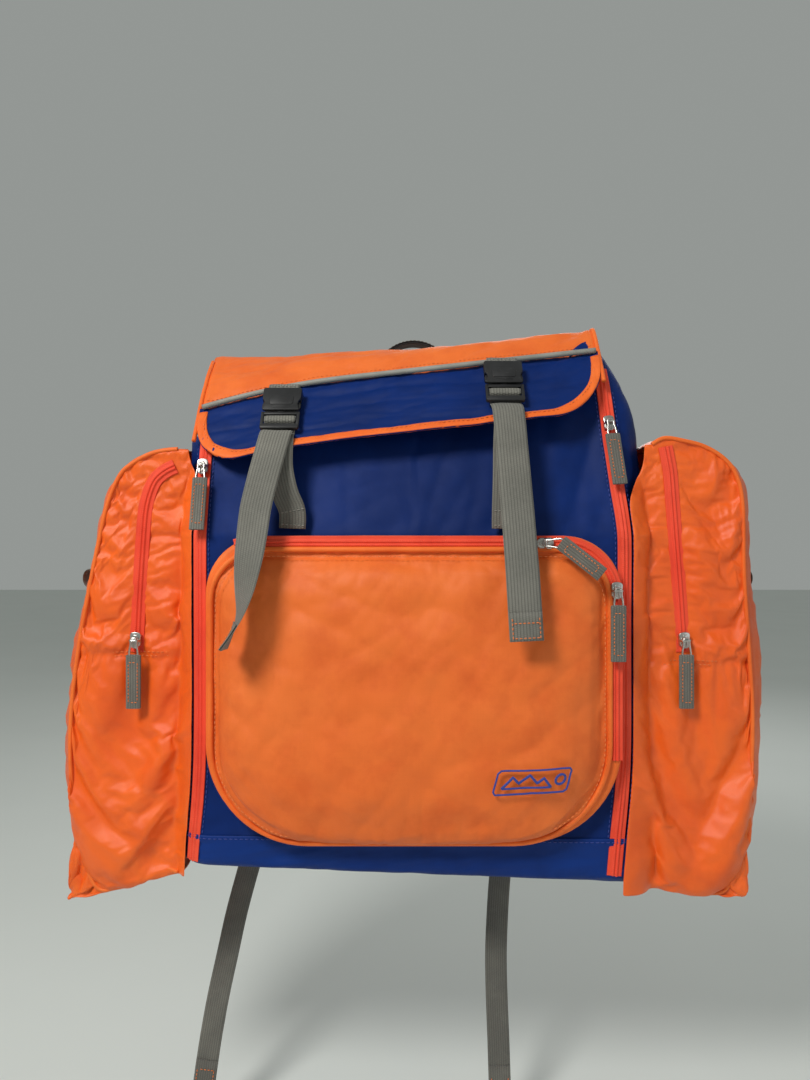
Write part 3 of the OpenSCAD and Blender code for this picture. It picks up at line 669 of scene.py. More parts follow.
def free_tail(name, route, leans, w, t, mat, body, node, fold, seed, ride=True):
    """Free webbing tail: the band, its turned-up end and the stitching across the turn."""
    frames = web_frames(route, leans)
    mesh = Mesh()
    web(mesh, frames, w, t, 0, cup=0.5, wave=0.35, seed=seed)
    rest, back = 0.0, len(frames) - 1
    while back > 0 and rest < fold:
        rest += np.linalg.norm(frames[back][0] - frames[back - 1][0])
        back -= 1
    turn = frames[back:]
    web(mesh, turn, w - 0.3, t, 0, lift=t * 1.02, cup=0.5, wave=0.35, seed=seed)
    lift = 1.5 * t + 0.45
    for depth in (3.5, fold - 4):
        far = 0.0
        for k in range(len(turn) - 1, 0, -1):
            far += np.linalg.norm(turn[k][0] - turn[k - 1][0])
            if far >= depth:
                break
        p, s, o = turn[k]
        mesh.stitches([p + s * (w / 2 - 2.5) + o * lift, p - s * (w / 2 - 2.5) + o * lift], [o, o], 2.2, 1.0, 0.4, 1)
    for edge in (-1, 1):
        line = [(p + s * edge * (w / 2 - 2.5) + o * lift, o) for p, s, o in turn[1:]]
        mesh.stitches([a for a, o in line], [o for a, o in line], 2.2, 1.0, 0.4, 1)
    piece = mesh.done(name, [mat, "thread" if fold else "thread_grey"], body, (node,), ride=ride)
    return piece, frames


# Shoulder webbing: free tails below the ladder locks. The routes repeat part.scad's.
STRAP_ROUTE = {
    LEFT: [[-115, 12.1, -341], [-115.5, 14.6, -350], [-119, 15.2, -376], [-126, 13.5, -404], [-137, 10.5, -434],
           [-148, 6, -466], [-157, 1, -498], [-165, -5, -530], [-172, -11, -565], [-179, -17, -600],
           [-185, -23, -638], [-190, -28, -678]],
    RIGHT: [[115, 12.1, -341], [114.5, 14.6, -350], [111, 15.2, -376], [104, 13.5, -404], [94, 10.5, -434],
            [86, 6, -466], [81, 1, -498], [78, -5, -530], [76, -11, -565], [76, -17, -600], [77, -23, -640],
            [78, -28, -690]]}
WEB_W, LID_WEB_W, WEB_T = 20, 25, 1.2
for side in (LEFT, RIGHT):
    free_tail(hand(side) + "_shoulder_tail", STRAP_ROUTE[side], [0] * 12, WEB_W, WEB_T, "web_dark", "bag",
              hand(side) + "_strap_tail", 24, 3.0 + side)

# Buckles lie on the slope of the lid's lip
LIP_SLOPE, BUCKLE_LIFT = -35.1, 2.4
BUCKLE_X, BUCKLE_Y, BUCKLE_Z = [-108, 72], -98, -69.5
LID_X, LID_W, LID_TILT, LID_DROOP, DROOP_FROM = -13, 334, 0.11, 12, 40


def sag(x):
    u = x - LID_X
    v = max(0, -u - DROOP_FROM) / (LID_W / 2 - DROOP_FROM)
    return u * LID_TILT - LID_DROOP * v * v


def lip_place(side):
    x = pick(BUCKLE_X, side)
    return (Matrix.Translation((x, BUCKLE_Y, BUCKLE_Z + sag(x))) @ Matrix.Rotation(radians(LIP_SLOPE), 4, "X")
            @ Matrix.Translation((0, -BUCKLE_LIFT, 0)))


def off_lip(side, p):
    return list(lip_place(side) @ Vector((p[0], -p[1], p[2])))


# Lid webbing: free tails below the buckles
TAIL_WRAP = [[0, 3.2, -7.1], [0, 5.4, -6.8], [0, 7.6, -7.9], [0, 8.1, -10.3], [0, 7.7, -12.6], [0, 5.4, -13.6],
             [0, 3.77, -15.8], [0, 3.9, -21]]
LID_TAIL = {
    LEFT: [[-110, -121, -98], [-113, -127, -112], [-117, -135, -132], [-121, -145, -156], [-123, -154, -182],
           [-125, -161, -206], [-127, -166, -228], [-132, -168, -246], [-140, -169, -262]],
    RIGHT: [[73, -123.5, -79], [74, -128.5, -94], [75, -134, -114], [76, -142, -138], [77, -150, -162],
            [78, -157, -187], [79, -163, -212], [80, -166, -235], [81, -168, -256]]}
TAIL_LEAN = {LEFT: [0, 2, 4, 8, 16, 32, 56, 78, 92], RIGHT: [0] * 9}
for side in (LEFT, RIGHT):
    wrap = [off_lip(side, p) for p in TAIL_WRAP]
    route = wrap[-1:] + LID_TAIL[side]
    tail, frames = free_tail(hand(side) + "_lid_tail_webbing", route, [0] + TAIL_LEAN[side], LID_WEB_W, WEB_T, "web",
                             None, hand(side) + "_lid_tail", 20, 7.0 + side, ride=False)
    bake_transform(tail)
    turn = Mesh()
    web(turn, web_frames(wrap, [0] * len(wrap), 5), LID_WEB_W, WEB_T)
    turn.done(hand(side) + "_tail_wrap", "web", hand(side) + "_plug")

# Lid webbing: anchored part, from the front pocket's top seam up to the plug
FOOT_X, FOOT_Y, FOOT_Z = [-97, 71], -120, -173
for side in (LEFT, RIGHT):
    foot_x, top_x = pick(FOOT_X, side), pick(BUCKLE_X, side)
    drop = sag(top_x)
    route = [[foot_x, FOOT_Y, FOOT_Z], [foot_x, FOOT_Y - 1, FOOT_Z + 14],
             [lerp(foot_x, top_x, 0.5), FOOT_Y - 3, -138 + drop / 2],
             [lerp(foot_x, top_x, 0.85), FOOT_Y - 4, -112 + drop],
             off_lip(side, [1.5, 4.2, -30]), off_lip(side, [1.5, 1.95, -20.5]), off_lip(side, [1.5, 1.9, -8.4])]
    mesh = Mesh()
    frames = web_frames(route, [0] * 7, 7)
    web(mesh, frames, LID_WEB_W - 4, WEB_T, cup=0.35, wave=0.3, seed=11.0 + side)
    lift = WEB_T / 2 + 0.3
    for k in (2, 7):
        p, s, o = frames[k]
        mesh.stitches([p + s * 10 + o * lift, p - s * 10 + o * lift], [o, o], 2.2, 1.0, 0.4, 1)
    strap = mesh.done(hand(side) + "_anchor_webbing", ["web", "thread_grey"], None,
                      (hand(side) + "_anchor_strap",), ride=False)
    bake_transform(strap)

# Short tabs that hold the sockets under the lid's piping
tabs = Mesh()
for side in (LEFT, RIGHT):
    route = [off_lip(side, [0, o, z]) for o, z in ((5.6, 16.6), (7.6, 17.6), (8.4, 20), (7.2, 23), (5.6, 26), (4.4, 31))]
    frames = web_frames(route, [0] * 6, 5)
    web(tabs, frames, LID_WEB_W, WEB_T)
    for k in (17, 21):
        p, s, o = frames[k]
        tabs.stitches([p + s * 10 + o * 0.9, p - s * 10 + o * 0.9], [o, o], 2.2, 1.0, 0.4, 1)
tabs.done("buckle_tab_webbing", ["web", "thread_grey"], "lid", ("buckle_tabs",))


# ---------------------------------------------------------------- blue bag

BAG_FRONT, BAG_BACK = -118, -10
YOKE_Z, YOKE_MID_Z, YOKE_SLOPE = -178, -100, 21.6 / 78
MOUTH_FRONT, MOUTH_BACK = (-80, -55), (-16, -38)
BAND_Z = -421


def mouth_z(x, y):
    t = (y - MOUTH_FRONT[0]) / (MOUTH_BACK[0] - MOUTH_FRONT[0])
    return lerp(MOUTH_FRONT[1], MOUTH_BACK[1], t) + sag(x) * (1 - 0.85 * t)


def bag_section(h):
    """Half width, front, back and corner radius of the bag at a height; above the yoke's middle h runs to the mouth."""
    t = clamp((h - YOKE_MID_Z) / 60)
    half = 193 - 35 * t ** 2.0
    front = BAG_FRONT + max(0, min(h, YOKE_MID_Z) - YOKE_Z) * YOKE_SLOPE + 16.4 * t
    waist = 2.2 * math.exp(-((h + 300) / 110) ** 2)
    return half - waist, front, BAG_BACK - 4 * t, 32 - 2 * t


def bag_point(s, h):
    """Point of the bag's surface, s millimetres round from the middle of its front, and its outward direction."""
    half, front, back, r = bag_section(h)
    side, q = (-1 if s < 0 else 1), abs(s)
    a = half - r
    run = back - front - 2 * r
    quarter = r * pi / 2
    if q < a:
        x, y, n = q, front, (0, -1)
    elif q < a + quarter:
        w = (q - a) / r
        x, y, n = a + r * sin(w), front + r * (1 - cos(w)), (sin(w), -cos(w))
    elif q < a + quarter + run:
        x, y, n = half, front + r + q - a - quarter, (1, 0)
    elif q < a + 2 * quarter + run:
        w = (q - a - quarter - run) / r
        x, y, n = half - r * (1 - cos(w)), back - r * (1 - sin(w)), (cos(w), sin(w))
    else:
        x, y, n = max(0, a - (q - a - 2 * quarter - run)), back, (0, 1)
    x *= side
    t = clamp((h - YOKE_MID_Z) / 60)
    z = h
    if t > 0:
        lip = mouth_z(x, y) + 24 * ease((x - 105) / 45) * ease((-y - 20) / 30)
        z = lerp(YOKE_MID_Z, lip, t)
    low = clamp((-390 - h) / 63)
    z += low * low * (4 - 0.04 * x)
    return np.array([x, y, z]), np.array([side * n[0], n[1], 0.0])


def girth(h):
    """Arc lengths at which the front corner, the side, the back corner and the back begin."""
    half, front, back, r = bag_section(h)
    a = half - r
    return a, a + r * pi / 2, a + r * pi / 2 + back - front - 2 * r, a + r * pi + back - front - 2 * r


# Side zips: their line up the front, as [height, x], bowed a little by the load
ZIP_LINE = {LEFT: table([[-453, -178], [-420, -176], [-380, -172.5], [-340, -171], [-250, -171], [-178, -171],
                         [-140, -171], [-100, -170.5], [-60, -169]]),
            RIGHT: table([[-453, 157], [-420, 160], [-380, 164], [-340, 166], [-250, 166], [-178, 166], [-140, 163],
                          [-100, 159.8], [-60, 155]])}


def arc_at(x, h):
    """Arc length at which the bag's front has this x."""
    half, _, _, r = bag_section(h)
    a = half - r
    q = abs(x)
    return math.copysign(q if q < a else a + r * math.asin(clamp((q - a) / r)), x)


def bag_crinkle(x, y, z, strength=1.0):
    """Inward depth of the shell's soft folds."""
    a, b = turned(x, z, 74 if x > 0 else 104)
    depth = 2.6 * folds(a, b, 190, 58, 3.7, 1.2) + 1.1 * folds(*turned(x + y, z, 22), 120, 40, 8.1, 1.4)
    depth += 2.6 * (0.5 + 0.5 * ripple(x / 70, z / 95, y / 50))
    return strength * depth


HEIGHTS = [BAND_Z - 3 + k * 3.0 for k in range(int((YOKE_MID_Z - BAND_Z + 3) / 3.0) + 1)]
HEIGHTS = [h for h in HEIGHTS if h < YOKE_MID_Z - 1] + [YOKE_MID_Z + 60 * k / 22 for k in range(23)]


def shell(name, low, high, cols, mat, swaps, fade=0.06, heights=None):
    """Panel of the bag between two arc lengths that depend on the height."""
    rows = []
    for h in heights or HEIGHTS:
        s0, s1 = low(h), high(h)
        row = []
        for i in range(cols + 1):
            f = i / cols
            p, n = bag_point(lerp(s0, s1, f), h)
            edge = ease(min(f, 1 - f) / fade)
            row.append(p - n * bag_crinkle(*p) * edge * ease((h - BAND_Z) / 20 + 0.2))
        rows.append(row)
    P = np.array(rows)
    n, flip = facing(P, (0, -64, -250))
    return Mesh().grid(P, flip=flip).done(name, mat, "bag", swaps, thick=1.2)


shell("front_cloth", lambda h: arc_at(ZIP_LINE[LEFT](h), h), lambda h: arc_at(ZIP_LINE[RIGHT](h), h), 120, "blue",
      ("front_panel", "yoke"))
for side in (LEFT, RIGHT):
    shell(hand(side) + "_gusset_cloth", lambda h: arc_at(ZIP_LINE[side](h), h), lambda h: side * girth(h)[3], 66,
          "blue", (hand(side) + "_gusset",), 0.05)


def back_grid():
    rows = []
    for h in HEIGHTS:
        a = girth(h)[0]
        back = bag_section(h)[2]
        row = []
        for i in range(81):
            x = -a + 2 * a * i / 80
            z = bag_point(math.copysign(girth(h)[3] + a - abs(x), x or 1), h)[0][2]
            dent = 1.2 * (0.5 + 0.5 * ripple(x / 45, h / 50, 2.0)) * ease(min(a - abs(x), 30) / 30)
            row.append((x, back - dent, z))
        rows.append(row)
    return np.array(rows)


P = back_grid()
n, flip = facing(P, (0, -64, -250))
Mesh().grid(P, flip=flip).done("back_cloth", "back", "bag", ("back_panel",), thick=1.4)
foam = Mesh()
foam.box((-158, -19, -447), (158, -13.4, -199))
foam.done("back_foam_sheet", "mesh", "bag", ("back_foam",), bevel=2)

# Base: a deeper band of cloth sewn round the bottom, rounded under to a flat sole
profile = [(BAND_Z + 3 - 2.0 * k, 0.7) for k in range(14)] + [
    (-453 + 9 - 9 * sin(a), 0.7 - 9 * (1 - cos(a))) for a in (0.3, 0.6, 0.9, 1.2, pi / 2)]
rows = []
for h, grow in profile:
    total = girth(h)[3] + girth(h)[0]
    row = []
    for k in range(300):
        p, n = bag_point(lerp(-total, total, (k + 0.5) / 300), h)
        crease = 1.9 * folds(*turned(p[0] + p[1], p[2], 9), 70, 13, 12.0, 1.2) * ease((BAND_Z - h) / 8)
        row.append(p + n * (grow - crease))
    rows.append(row)
inner = rows[-1]
for scale in (0.93, 0.8, 0.6, 0.35, 0.1):
    rows.append([np.array([p[0] * scale, (p[1] + 64) * scale - 64, p[2] + 0.8 * ripple(p[0] * scale / 40, p[1] / 30, 4)])
                 for p in inner])
P = np.array(rows)
n, flip = facing(P, (0, -64, -400))
Mesh().grid(P, loop=True, flip=flip).done("base_cloth", "base", "bag", ("base_panel",), thick=1.4)
seam = Mesh()
line = [bag_point(s, BAND_Z + 0.2) for s in np.linspace(-girth(BAND_Z)[3], girth(BAND_Z)[3], 260)]
seam.stitches([p + n * 0.8 for p, n in line], [n for p, n in line], 2.8, 1.4, 0.4)
seam.done("base_stitching", "thread_blue", "bag")

# Corded seams where the gussets meet the back
for side in (LEFT, RIGHT):
    path = [bag_point(side * girth(h)[3], h)[0] + np.array([0, 0.6, 0]) for h in HEIGHTS]
    Mesh().tube(path, 1.7, 8).done(hand(side) + "_back_seam", "binding", "bag")

# Collar gathered across the mouth by a drawcord, with its two eyelets
HOLE_W, HOLE_D = 236, 34
rows = []
around = 240
for j in range(19):
    f = j / 18
    row = []
    for k in range(around):
        total = girth(-40)[3] + girth(-40)[0]
        p, n = bag_point(lerp(-total, total, (k + 0.5) / around), -40)
        p = p - n * 1.5
        a = math.atan2(p[1] + 48, p[0] / 4)
        hx, hy = HOLE_W / 2 * clamp(p[0] / 150, -1, 1), -48 + HOLE_D / 2 * clamp((p[1] + 48) / 24, -1, 1)
        depth = 3 + 7 * sin(f * pi / 2)
        gather = 2.4 * sin(k * 2 * pi * 44 / around + 2 * ripple(k / 9, 0, 1)) * f
        x, y = lerp(p[0], hx, f), lerp(p[1], hy, f)
        row.append((x, y, min(p[2], lerp(p[2], mouth_z(x, y), f)) - depth * 0.6 + gather * 0.7 - 1))
    rows.append(row)
P = np.array(rows)
n, flip = facing(P, (0, -48, -200))
Mesh().grid(P, loop=True, flip=flip).done("collar_cloth", "blue", "bag", ("collar",), thick=0.8)
eyelets = Mesh()
for x in (-14, 14):
    z = mouth_z(x, -71) - 3.0
    ring = [(x + 3.9 * cos(a), -71 + 3.9 * sin(a), z) for a in np.linspace(0, 2 * pi, 32, endpoint=False)]
    eyelets.tube(ring, 1.5, 10, closed=True, squash=0.5)
eyelets.done("collar_eyelet_rings", "brass", "bag", ("collar_eyelets",))


# ---------------------------------------------------------------- zips

ZIP_PITCH = 1.7


def zip_track(mesh, path, outs, width, teeth_from=0.0, teeth_to=1e9, mat=0):
    """Zip along a path: woven tape, and two rows of coil that meet in a groove."""
    both, at = resample(np.concatenate([np.asarray(path, float), np.asarray(outs, float)], 1), ZIP_PITCH / 4)
    half = width / 2
    cross = [-half, -half + 0.5, -half + 0.9, -3.2, -2.7, -2.2, -1.5, -0.9, -0.35, 0,
             0.35, 0.9, 1.5, 2.2, 2.7, 3.2, half - 0.9, half - 0.5, half]
    flat = [0.15, 0.75, 0.7, 0.75, 1.0, 1.9, 2.35, 2.1, 1.5, 1.0]
    high = flat + flat[-2::-1]
    rows = []
    for j, row in enumerate(both):
        d = unit(both[min(j + 1, len(both) - 1), :3] - both[max(j - 1, 0), :3])
        out = unit(row[3:] - d * (row[3:] @ d))
        s = unit(np.cross(d, out))
        coil = teeth_from <= at[j] <= teeth_to
        line = []
        for u, h in zip(cross, high):
            if abs(u) < 3:
                if coil:
                    phase = at[j] / ZIP_PITCH + (0.5 if u > 0 else 0)
                    h -= 0.45 * (1 - abs(sin(pi * phase))) * (1 if abs(u) > 0.3 else 0.4)
                else:
                    h = 0.75
            line.append(row[:3] + s * u + out * h)
        rows.append(line)
    P = np.array(rows)
    n = normals(P)
    flip = float(np.sum(n * both[:, None, 3:])) < 0
    return mesh.grid(P, mat, flip=flip)


for side in (LEFT, RIGHT):
    line = [bag_point(arc_at(ZIP_LINE[side](h), h), h) for h in np.linspace(-446, -58 if side > 0 else -98, 90)]
    track = Mesh()
    zip_track(track, [p - n * 0.4 for p, n in line], [n for p, n in line], 12)
    track.done(hand(side) + "_side_zip_track", "coral", "bag", (hand(side) + "_side_zip",), thick=0.7)
    rows = Mesh()
    for shift in (-8.2, 8.2):
        run = [bag_point(arc_at(ZIP_LINE[side](h), h) + shift * 0.93, h) for h in np.linspace(-422, -70, 120)]
        rows.stitches([p + n * (0.1) for p, n in run], [n for p, n in run], 2.6, 1.4, 0.33)
    rows.done(hand(side) + "_side_zip_stitching", "thread_blue", "bag")

# ---------------------------------------------------------------- front pocket

POCKET_X, POCKET_W, FACE_TOP, FACE_BOTTOM, RIM_Y, BULGE = -4, 308, -190, -416, -131, 25
R_LOW, R_UP = 75, 40
face_swell = table([[0, 0], [3, 0.24], [6, 0.40], [12, 0.60], [18, 0.73], [36, 0.92], [62, 1.0], [80, 1.0], [200, 1.0]], 4)


def soft_rect(x0, x1, z0, z1, low, up, count=16):
    out = []
    for cx, cz, r, a0 in ((x1 - up, z1 - up, up, 0), (x0 + up, z1 - up, up, 90), (x0 + low, z0 + low, low, 180),
                          (x1 - low, z0 + low, low, 270)):
        out += [(cx + r * cos(radians(a0 + 90 * i / count)), cz + r * sin(radians(a0 + 90 * i / count)))
                for i in range(count + 1)]
    return out


def rim(inset, drop=0.0):
    """Closed outline of the pocket's face, every few millimetres."""
    x0, x1 = POCKET_X - POCKET_W / 2 + inset, POCKET_X + POCKET_W / 2 - inset
    ring = soft_rect(x0, x1, FACE_BOTTOM + inset - drop, FACE_TOP - inset, R_LOW - inset * 0.6, R_UP - inset * 0.2)
    out = []
    for k, (x, z) in enumerate(ring):
        nx, nz = ring[(k + 1) % len(ring)]
        steps = max(1, int(math.hypot(nx - x, nz - z) / 4))
        out += [(lerp(x, nx, i / steps), lerp(z, nz, i / steps)) for i in range(steps)]
    return out


def rim_inset(z):
    """How far the outline's corner arcs cut in at a height."""
    if z > FACE_TOP - R_UP:
        c = z - (FACE_TOP - R_UP)
        return R_UP - sqrt(max(0, R_UP ** 2 - c * c))
    if z < FACE_BOTTOM + R_LOW:
        c = FACE_BOTTOM + R_LOW - z
        return R_LOW - sqrt(max(0, R_LOW ** 2 - c * c))
    return 0.0


OUTLINE = np.array(rim(0))


def rim_distance(x, z):
    a, b = OUTLINE, np.roll(OUTLINE, -1, 0)
    p = np.array([x, z])
    ab = b - a
    t = np.clip(((p - a) * ab).sum(1) / np.maximum(1e-9, (ab * ab).sum(1)), 0, 1)
    return float(np.min(np.linalg.norm(a + ab * t[:, None] - p, axis=1)))


def face_depth(x, z, d=None):
    """How far in front of the rim the pocket's face stands, with its puckers and folds."""
    d = rim_distance(x, z) if d is None else d
    base = BULGE * face_swell(d)
    inside = ease(d / 10)
    top, bottom = FACE_TOP - z, z - FACE_BOTTOM
    pucker = 2.0 * math.exp(-top / 17) * folds(z, x, 70, 11, 21.0, 1.4) + 2.8 * math.exp(-bottom / 20) * folds(
        z, x, 80, 12, 23.0, 1.4)
    left = x - (POCKET_X - POCKET_W / 2)
    right = POCKET_X + POCKET_W / 2 - x
    pucker += 1.4 * (math.exp(-left / 16) + math.exp(-right / 16)) * folds(x, z, 60, 13, 25.0, 1.4)
    soft = 2.2 * ripple(x / 62, z / 48, 31.0) + 1.5 * ripple(x / 27, z / 30, 33.0)
    a, b = turned(x, z, -32)
    crease = 2.0 * folds(a, b, 130, 42, 35.0, 2.4) * ease((z + 420) / 60)
    a, b = turned(x, z, 48)
    crease += 1.5 * folds(a, b, 90, 36, 37.0, 2.4)
    slump = 2.5 * math.exp(-((z + 350) / 45) ** 2) - 3.0 * math.exp(-((z + 232) / 26) ** 2)
    return min(base + inside * (soft - crease + slump * ease(d / 40)) - pucker * ease(d / 4), BULGE + 2.2)


def face_point(x, z):
    return np.array([x, RIM_Y - face_depth(x, z), z])


rows = []
face_rows, face_cols = 84, 112
for j in range(face_rows + 1):
    f = 0.5 - 0.5 * cos(pi * j / face_rows)
    f = lerp(j / face_rows, f, 0.75)
    z = lerp(FACE_BOTTOM, FACE_TOP, f)
    cut = rim_inset(z)
    row = []
    for i in range(face_cols + 1):
        g = lerp(i / face_cols, 0.5 - 0.5 * cos(pi * i / face_cols), 0.45)
        x = lerp(POCKET_X - POCKET_W / 2 + cut, POCKET_X + POCKET_W / 2 - cut, g)
        row.append(face_point(x, z))
    rows.append(row)
P = np.array(rows)
pins = [1.0 if j in (0, face_rows) or i in (0, face_cols) else 0.0
        for j in range(face_rows + 1) for i in range(face_cols + 1)]
Mesh().grid(P, flip=facing(P, (POCKET_X, 0, -300))[1]).done(
    "front_pocket_cloth", "pocket", "bag", ("front_pocket_face",), thick=1.1, sub=1,
    cloth=(pins, {"shrink": -0.02, "pressure": 1.2, "gravity": 0.4, "cap": 5, "low": -158.5, "high": -130}))

# Gusset of the pocket: a band from the front panel out to the rim, wider where the zip runs

def band_outline(side_right, side_left, up, down):
    x0, x1 = POCKET_X - POCKET_W / 2 - side_left, POCKET_X + POCKET_W / 2 + side_right
    ring = soft_rect(x0, x1, FACE_BOTTOM - down, FACE_TOP + up, 77, 45, 16)
    out = []
    for k, (x, z) in enumerate(ring):
        nx, nz = ring[(k + 1) % len(ring)]
        out += [(lerp(x, nx, i / 12), lerp(z, nz, i / 12)) for i in range(12 if math.hypot(nx - x, nz - z) > 20 else 1)]
    return out


def matching_face():
    ring = soft_rect(POCKET_X - POCKET_W / 2, POCKET_X + POCKET_W / 2, FACE_BOTTOM, FACE_TOP, R_LOW, R_UP, 16)
    out = []
    for k, (x, z) in enumerate(ring):
        nx, nz = ring[(k + 1) % len(ring)]
        out += [(lerp(x, nx, i / 12), lerp(z, nz, i / 12)) for i in range(12 if math.hypot(nx - x, nz - z) > 20 else 1)]
    return out


wide, narrow = band_outline(11, 5, 11, 2), matching_face()
rows = []
for y, f, g in ((-116.5, 0, 0), (-119, 0, 0.4), (-122.5, 0, 0.9), (-126, 0, 0.7), (-129, 0, 0), (-130.3, 0.12, 0),
                (-130.6, 0.4, 0), (-130.8, 0.7, 0), (-131, 1.0, 0)):
    row = []
    for k, ((x0, z0), (x1, z1)) in enumerate(zip(wide, narrow)):
        n = unit(np.array([x0 - POCKET_X, z0 + 303]))
        pinch = g * (1 + 0.9 * ripple(x0 / 9, z0 / 9, 3.0))
        row.append((lerp(x0, x1, f) + n[0] * pinch * 0.6, y, lerp(z0, z1, f) + n[1] * pinch * 0.6))
    rows.append(row)
P = np.array(rows)
Mesh().grid(P, loop=True, flip=facing(P, (POCKET_X, -60, -303))[1]).done(
    "front_pocket_band", "trim", "bag", ("front_pocket_gusset",), thick=1.0)
ring = [(x, RIM_Y - 1.6, z) for x, z in rim(-0.6)]
Mesh().tube(ring, 2.3, 10, closed=True).done("front_pocket_cord", "trim", "bag", ("front_pocket_piping",))
seams = Mesh()
line = [face_point(x, z) for x, z in rim(4.6)]
line.append(line[0])
seams.stitches(line, [(0, -1, 0)] * len(line), 2.6, 1.3, 0.36)
seams.done("front_pocket_stitching", "thread", "bag")

# Zip over the top and down the right side
ZIP_TOP_Z, ZIP_SIDE_X, ZIP_LOW = FACE_TOP + 5.5, POCKET_X + POCKET_W / 2 + 5.5, -353
bend_x, bend_z, bend_r = 113, -227, 42.5
line = [(-140, ZIP_TOP_Z - 2.4), (-134, ZIP_TOP_Z - 0.8), (-128, ZIP_TOP_Z)] + [
    (x, ZIP_TOP_Z) for x in np.linspace(-120, bend_x - 4, 30)]
line += [(bend_x + bend_r * sin(a), bend_z + bend_r * cos(a)) for a in np.linspace(0, pi / 2, 24)]
line += [(ZIP_SIDE_X, z) for z in np.linspace(bend_z - 4, ZIP_LOW, 20)]
track = Mesh()
zip_track(track, [(x, RIM_Y + 0.3, z) for x, z in line], [(0, -1, 0)] * len(line), 11.4)
track.done("front_pocket_zip_track", "coral", "bag", ("front_pocket_zip",), thick=0.6)

# Badge: a framed row of hills and a sun in raised embroidery
BADGE_X, BADGE_Z, BADGE_W, BADGE_H = 87, -362, 56, 18


def badge_point(u, w, lift=0.35):
    x, z = BADGE_X + u * BADGE_W / 2 + w * 2.0, BADGE_Z + w * BADGE_H / 2 + 0.02 * u * BADGE_W
    return face_point(x, z) + np.array([0, -lift, 0])


mark = Mesh()
corner = [(-1, -0.75), (-0.94, -1), (0.9, -1), (0.98, -0.8), (1, 0.75), (0.94, 1), (-0.9, 1), (-0.98, 0.8)]
loop = []
for k, (u, w) in enumerate(corner):
    nu, nw = corner[(k + 1) % 8]
    steps = 26 if abs(nu - u) > 1 else (8 if abs(nw - w) > 1 else 3)
    loop += [badge_point(lerp(u, nu, i / steps), lerp(w, nw, i / steps)) for i in range(steps)]
mark.tube(loop, 0.75, 8, closed=True, squash=0.7)
hills = [(-0.8, -0.5), (-0.55, 0.42), (-0.36, -0.12), (-0.12, 0.62), (0.12, -0.1), (0.28, 0.3), (0.52, -0.5)]
dense = []
for (u, w), (nu, nw) in zip(hills, hills[1:]):
    dense += [badge_point(lerp(u, nu, i / 8), lerp(w, nw, i / 8)) for i in range(8)]
mark.tube(dense + [badge_point(*hills[-1])], 1.0, 8, squash=0.7)
mark.tube([badge_point(lerp(-0.8, 0.52, i / 24), -0.5) for i in range(25)], 0.8, 8, squash=0.7)
mark.tube([badge_point(0.74 + 0.13 * cos(a), 0.1 + 0.42 * sin(a)) for a in np.linspace(0, 2 * pi, 28, endpoint=False)],
          0.95, 8, closed=True, squash=0.7)
mark.done("badge_embroidery", "thread_blue", "bag", ("badge",))

# ---------------------------------------------------------------- side pockets

SIDE_X, SIDE_FRONT, SIDE_BACK = 193.3, -100, -16
# Outline of the front of each pocket, from its top inner corner round to its bottom inner corner
FRONT_LINE = {
    LEFT: [[193, -108], [204, -109], [216, -112], [229, -119], [240, -129], [250, -152], [257, -182], [265, -222],
           [274, -272], [280, -328], [279, -386], [270, -434], [262, -460], [252, -467], [238, -461], [222, -456],
           [205, -449], [193, -452]],
    RIGHT: [[193, -104], [203, -99], [218, -101], [236, -106], [252, -116], [262, -130], [267, -155], [268, -210],
            [272, -270], [275, -330], [272, -400], [264, -440], [254, -465], [240, -469], [226, -462], [212, -452],
            [202, -458], [193, -463]]}
MID_LINE = {
    LEFT: [[193, -104], [210, -104], [229, -108], [244, -116], [256, -127], [267, -154], [273, -184], [282, -225],
           [293, -277], [298, -338], [297, -398], [287, -450], [277, -478], [262, -479], [244, -473], [226, -467],
           [208, -459], [193, -463]],
    RIGHT: [[193, -99], [210, -94], [230, -95], [250, -101], [268, -112], [280, -126], [286, -150], [289, -208],
            [297, -262], [298, -325], [294, -403], [283, -448], [271, -475], [256, -482], [239, -476], [222, -463],
            [206, -470], [193, -474]]}
UPPER_SEAM_Z = {LEFT: -276, RIGHT: -283}


def pocket_crinkle(side, x, z, w):
    """Depth of the nylon's folds on a side pocket; w is 0 at the bag's edge and 1 at the outer edge."""
    seam_z = UPPER_SEAM_Z[side]
    depth = 0.0
    if side < 0:
        a, b = turned(x, z, 58 if z > seam_z else 128)
        c, d = turned(x, z, 28 if z > seam_z else 152)
        depth += 5.0 * folds(a, b, 150, 44, 41.0, 1.2) + 1.6 * folds(c, d, 90, 30, 43.0, 1.4)
    else:
        a, b = turned(x, z, 108 if z > seam_z else 64)
        c, d = turned(x, z, 2 if z > seam_z else 136)
        depth += 4.4 * folds(a, b, 150, 44, 51.0, 1.2) + 1.8 * folds(c, d, 70, 22, 53.0, 1.4) * (1.2 - w)
    near = abs(z - seam_z)
    depth += 2.4 * math.exp(-near / 11) * folds(z, x, 60, 10, 55.0, 1.4) + 2.2 * math.exp(-near / 5)
    return depth


# Front zips of the side pockets: their line on the pocket's face
def zip_line(side):
    if side < 0:
        return [[-195, -122], [-203, -126], [-211, -133], [-216, -144], [-219.6, -160], [-222, -190], [-224.5, -230],
                [-226.6, -273]]
    return [[204, -106], [206, -116], [208, -128], [209.6, -148], [212, -180], [215, -220], [218.6, -273]]


def bag_front_at(x, z):
    return bag_point(arc_at(x, min(z, -101)), min(z, -101))[0][1]


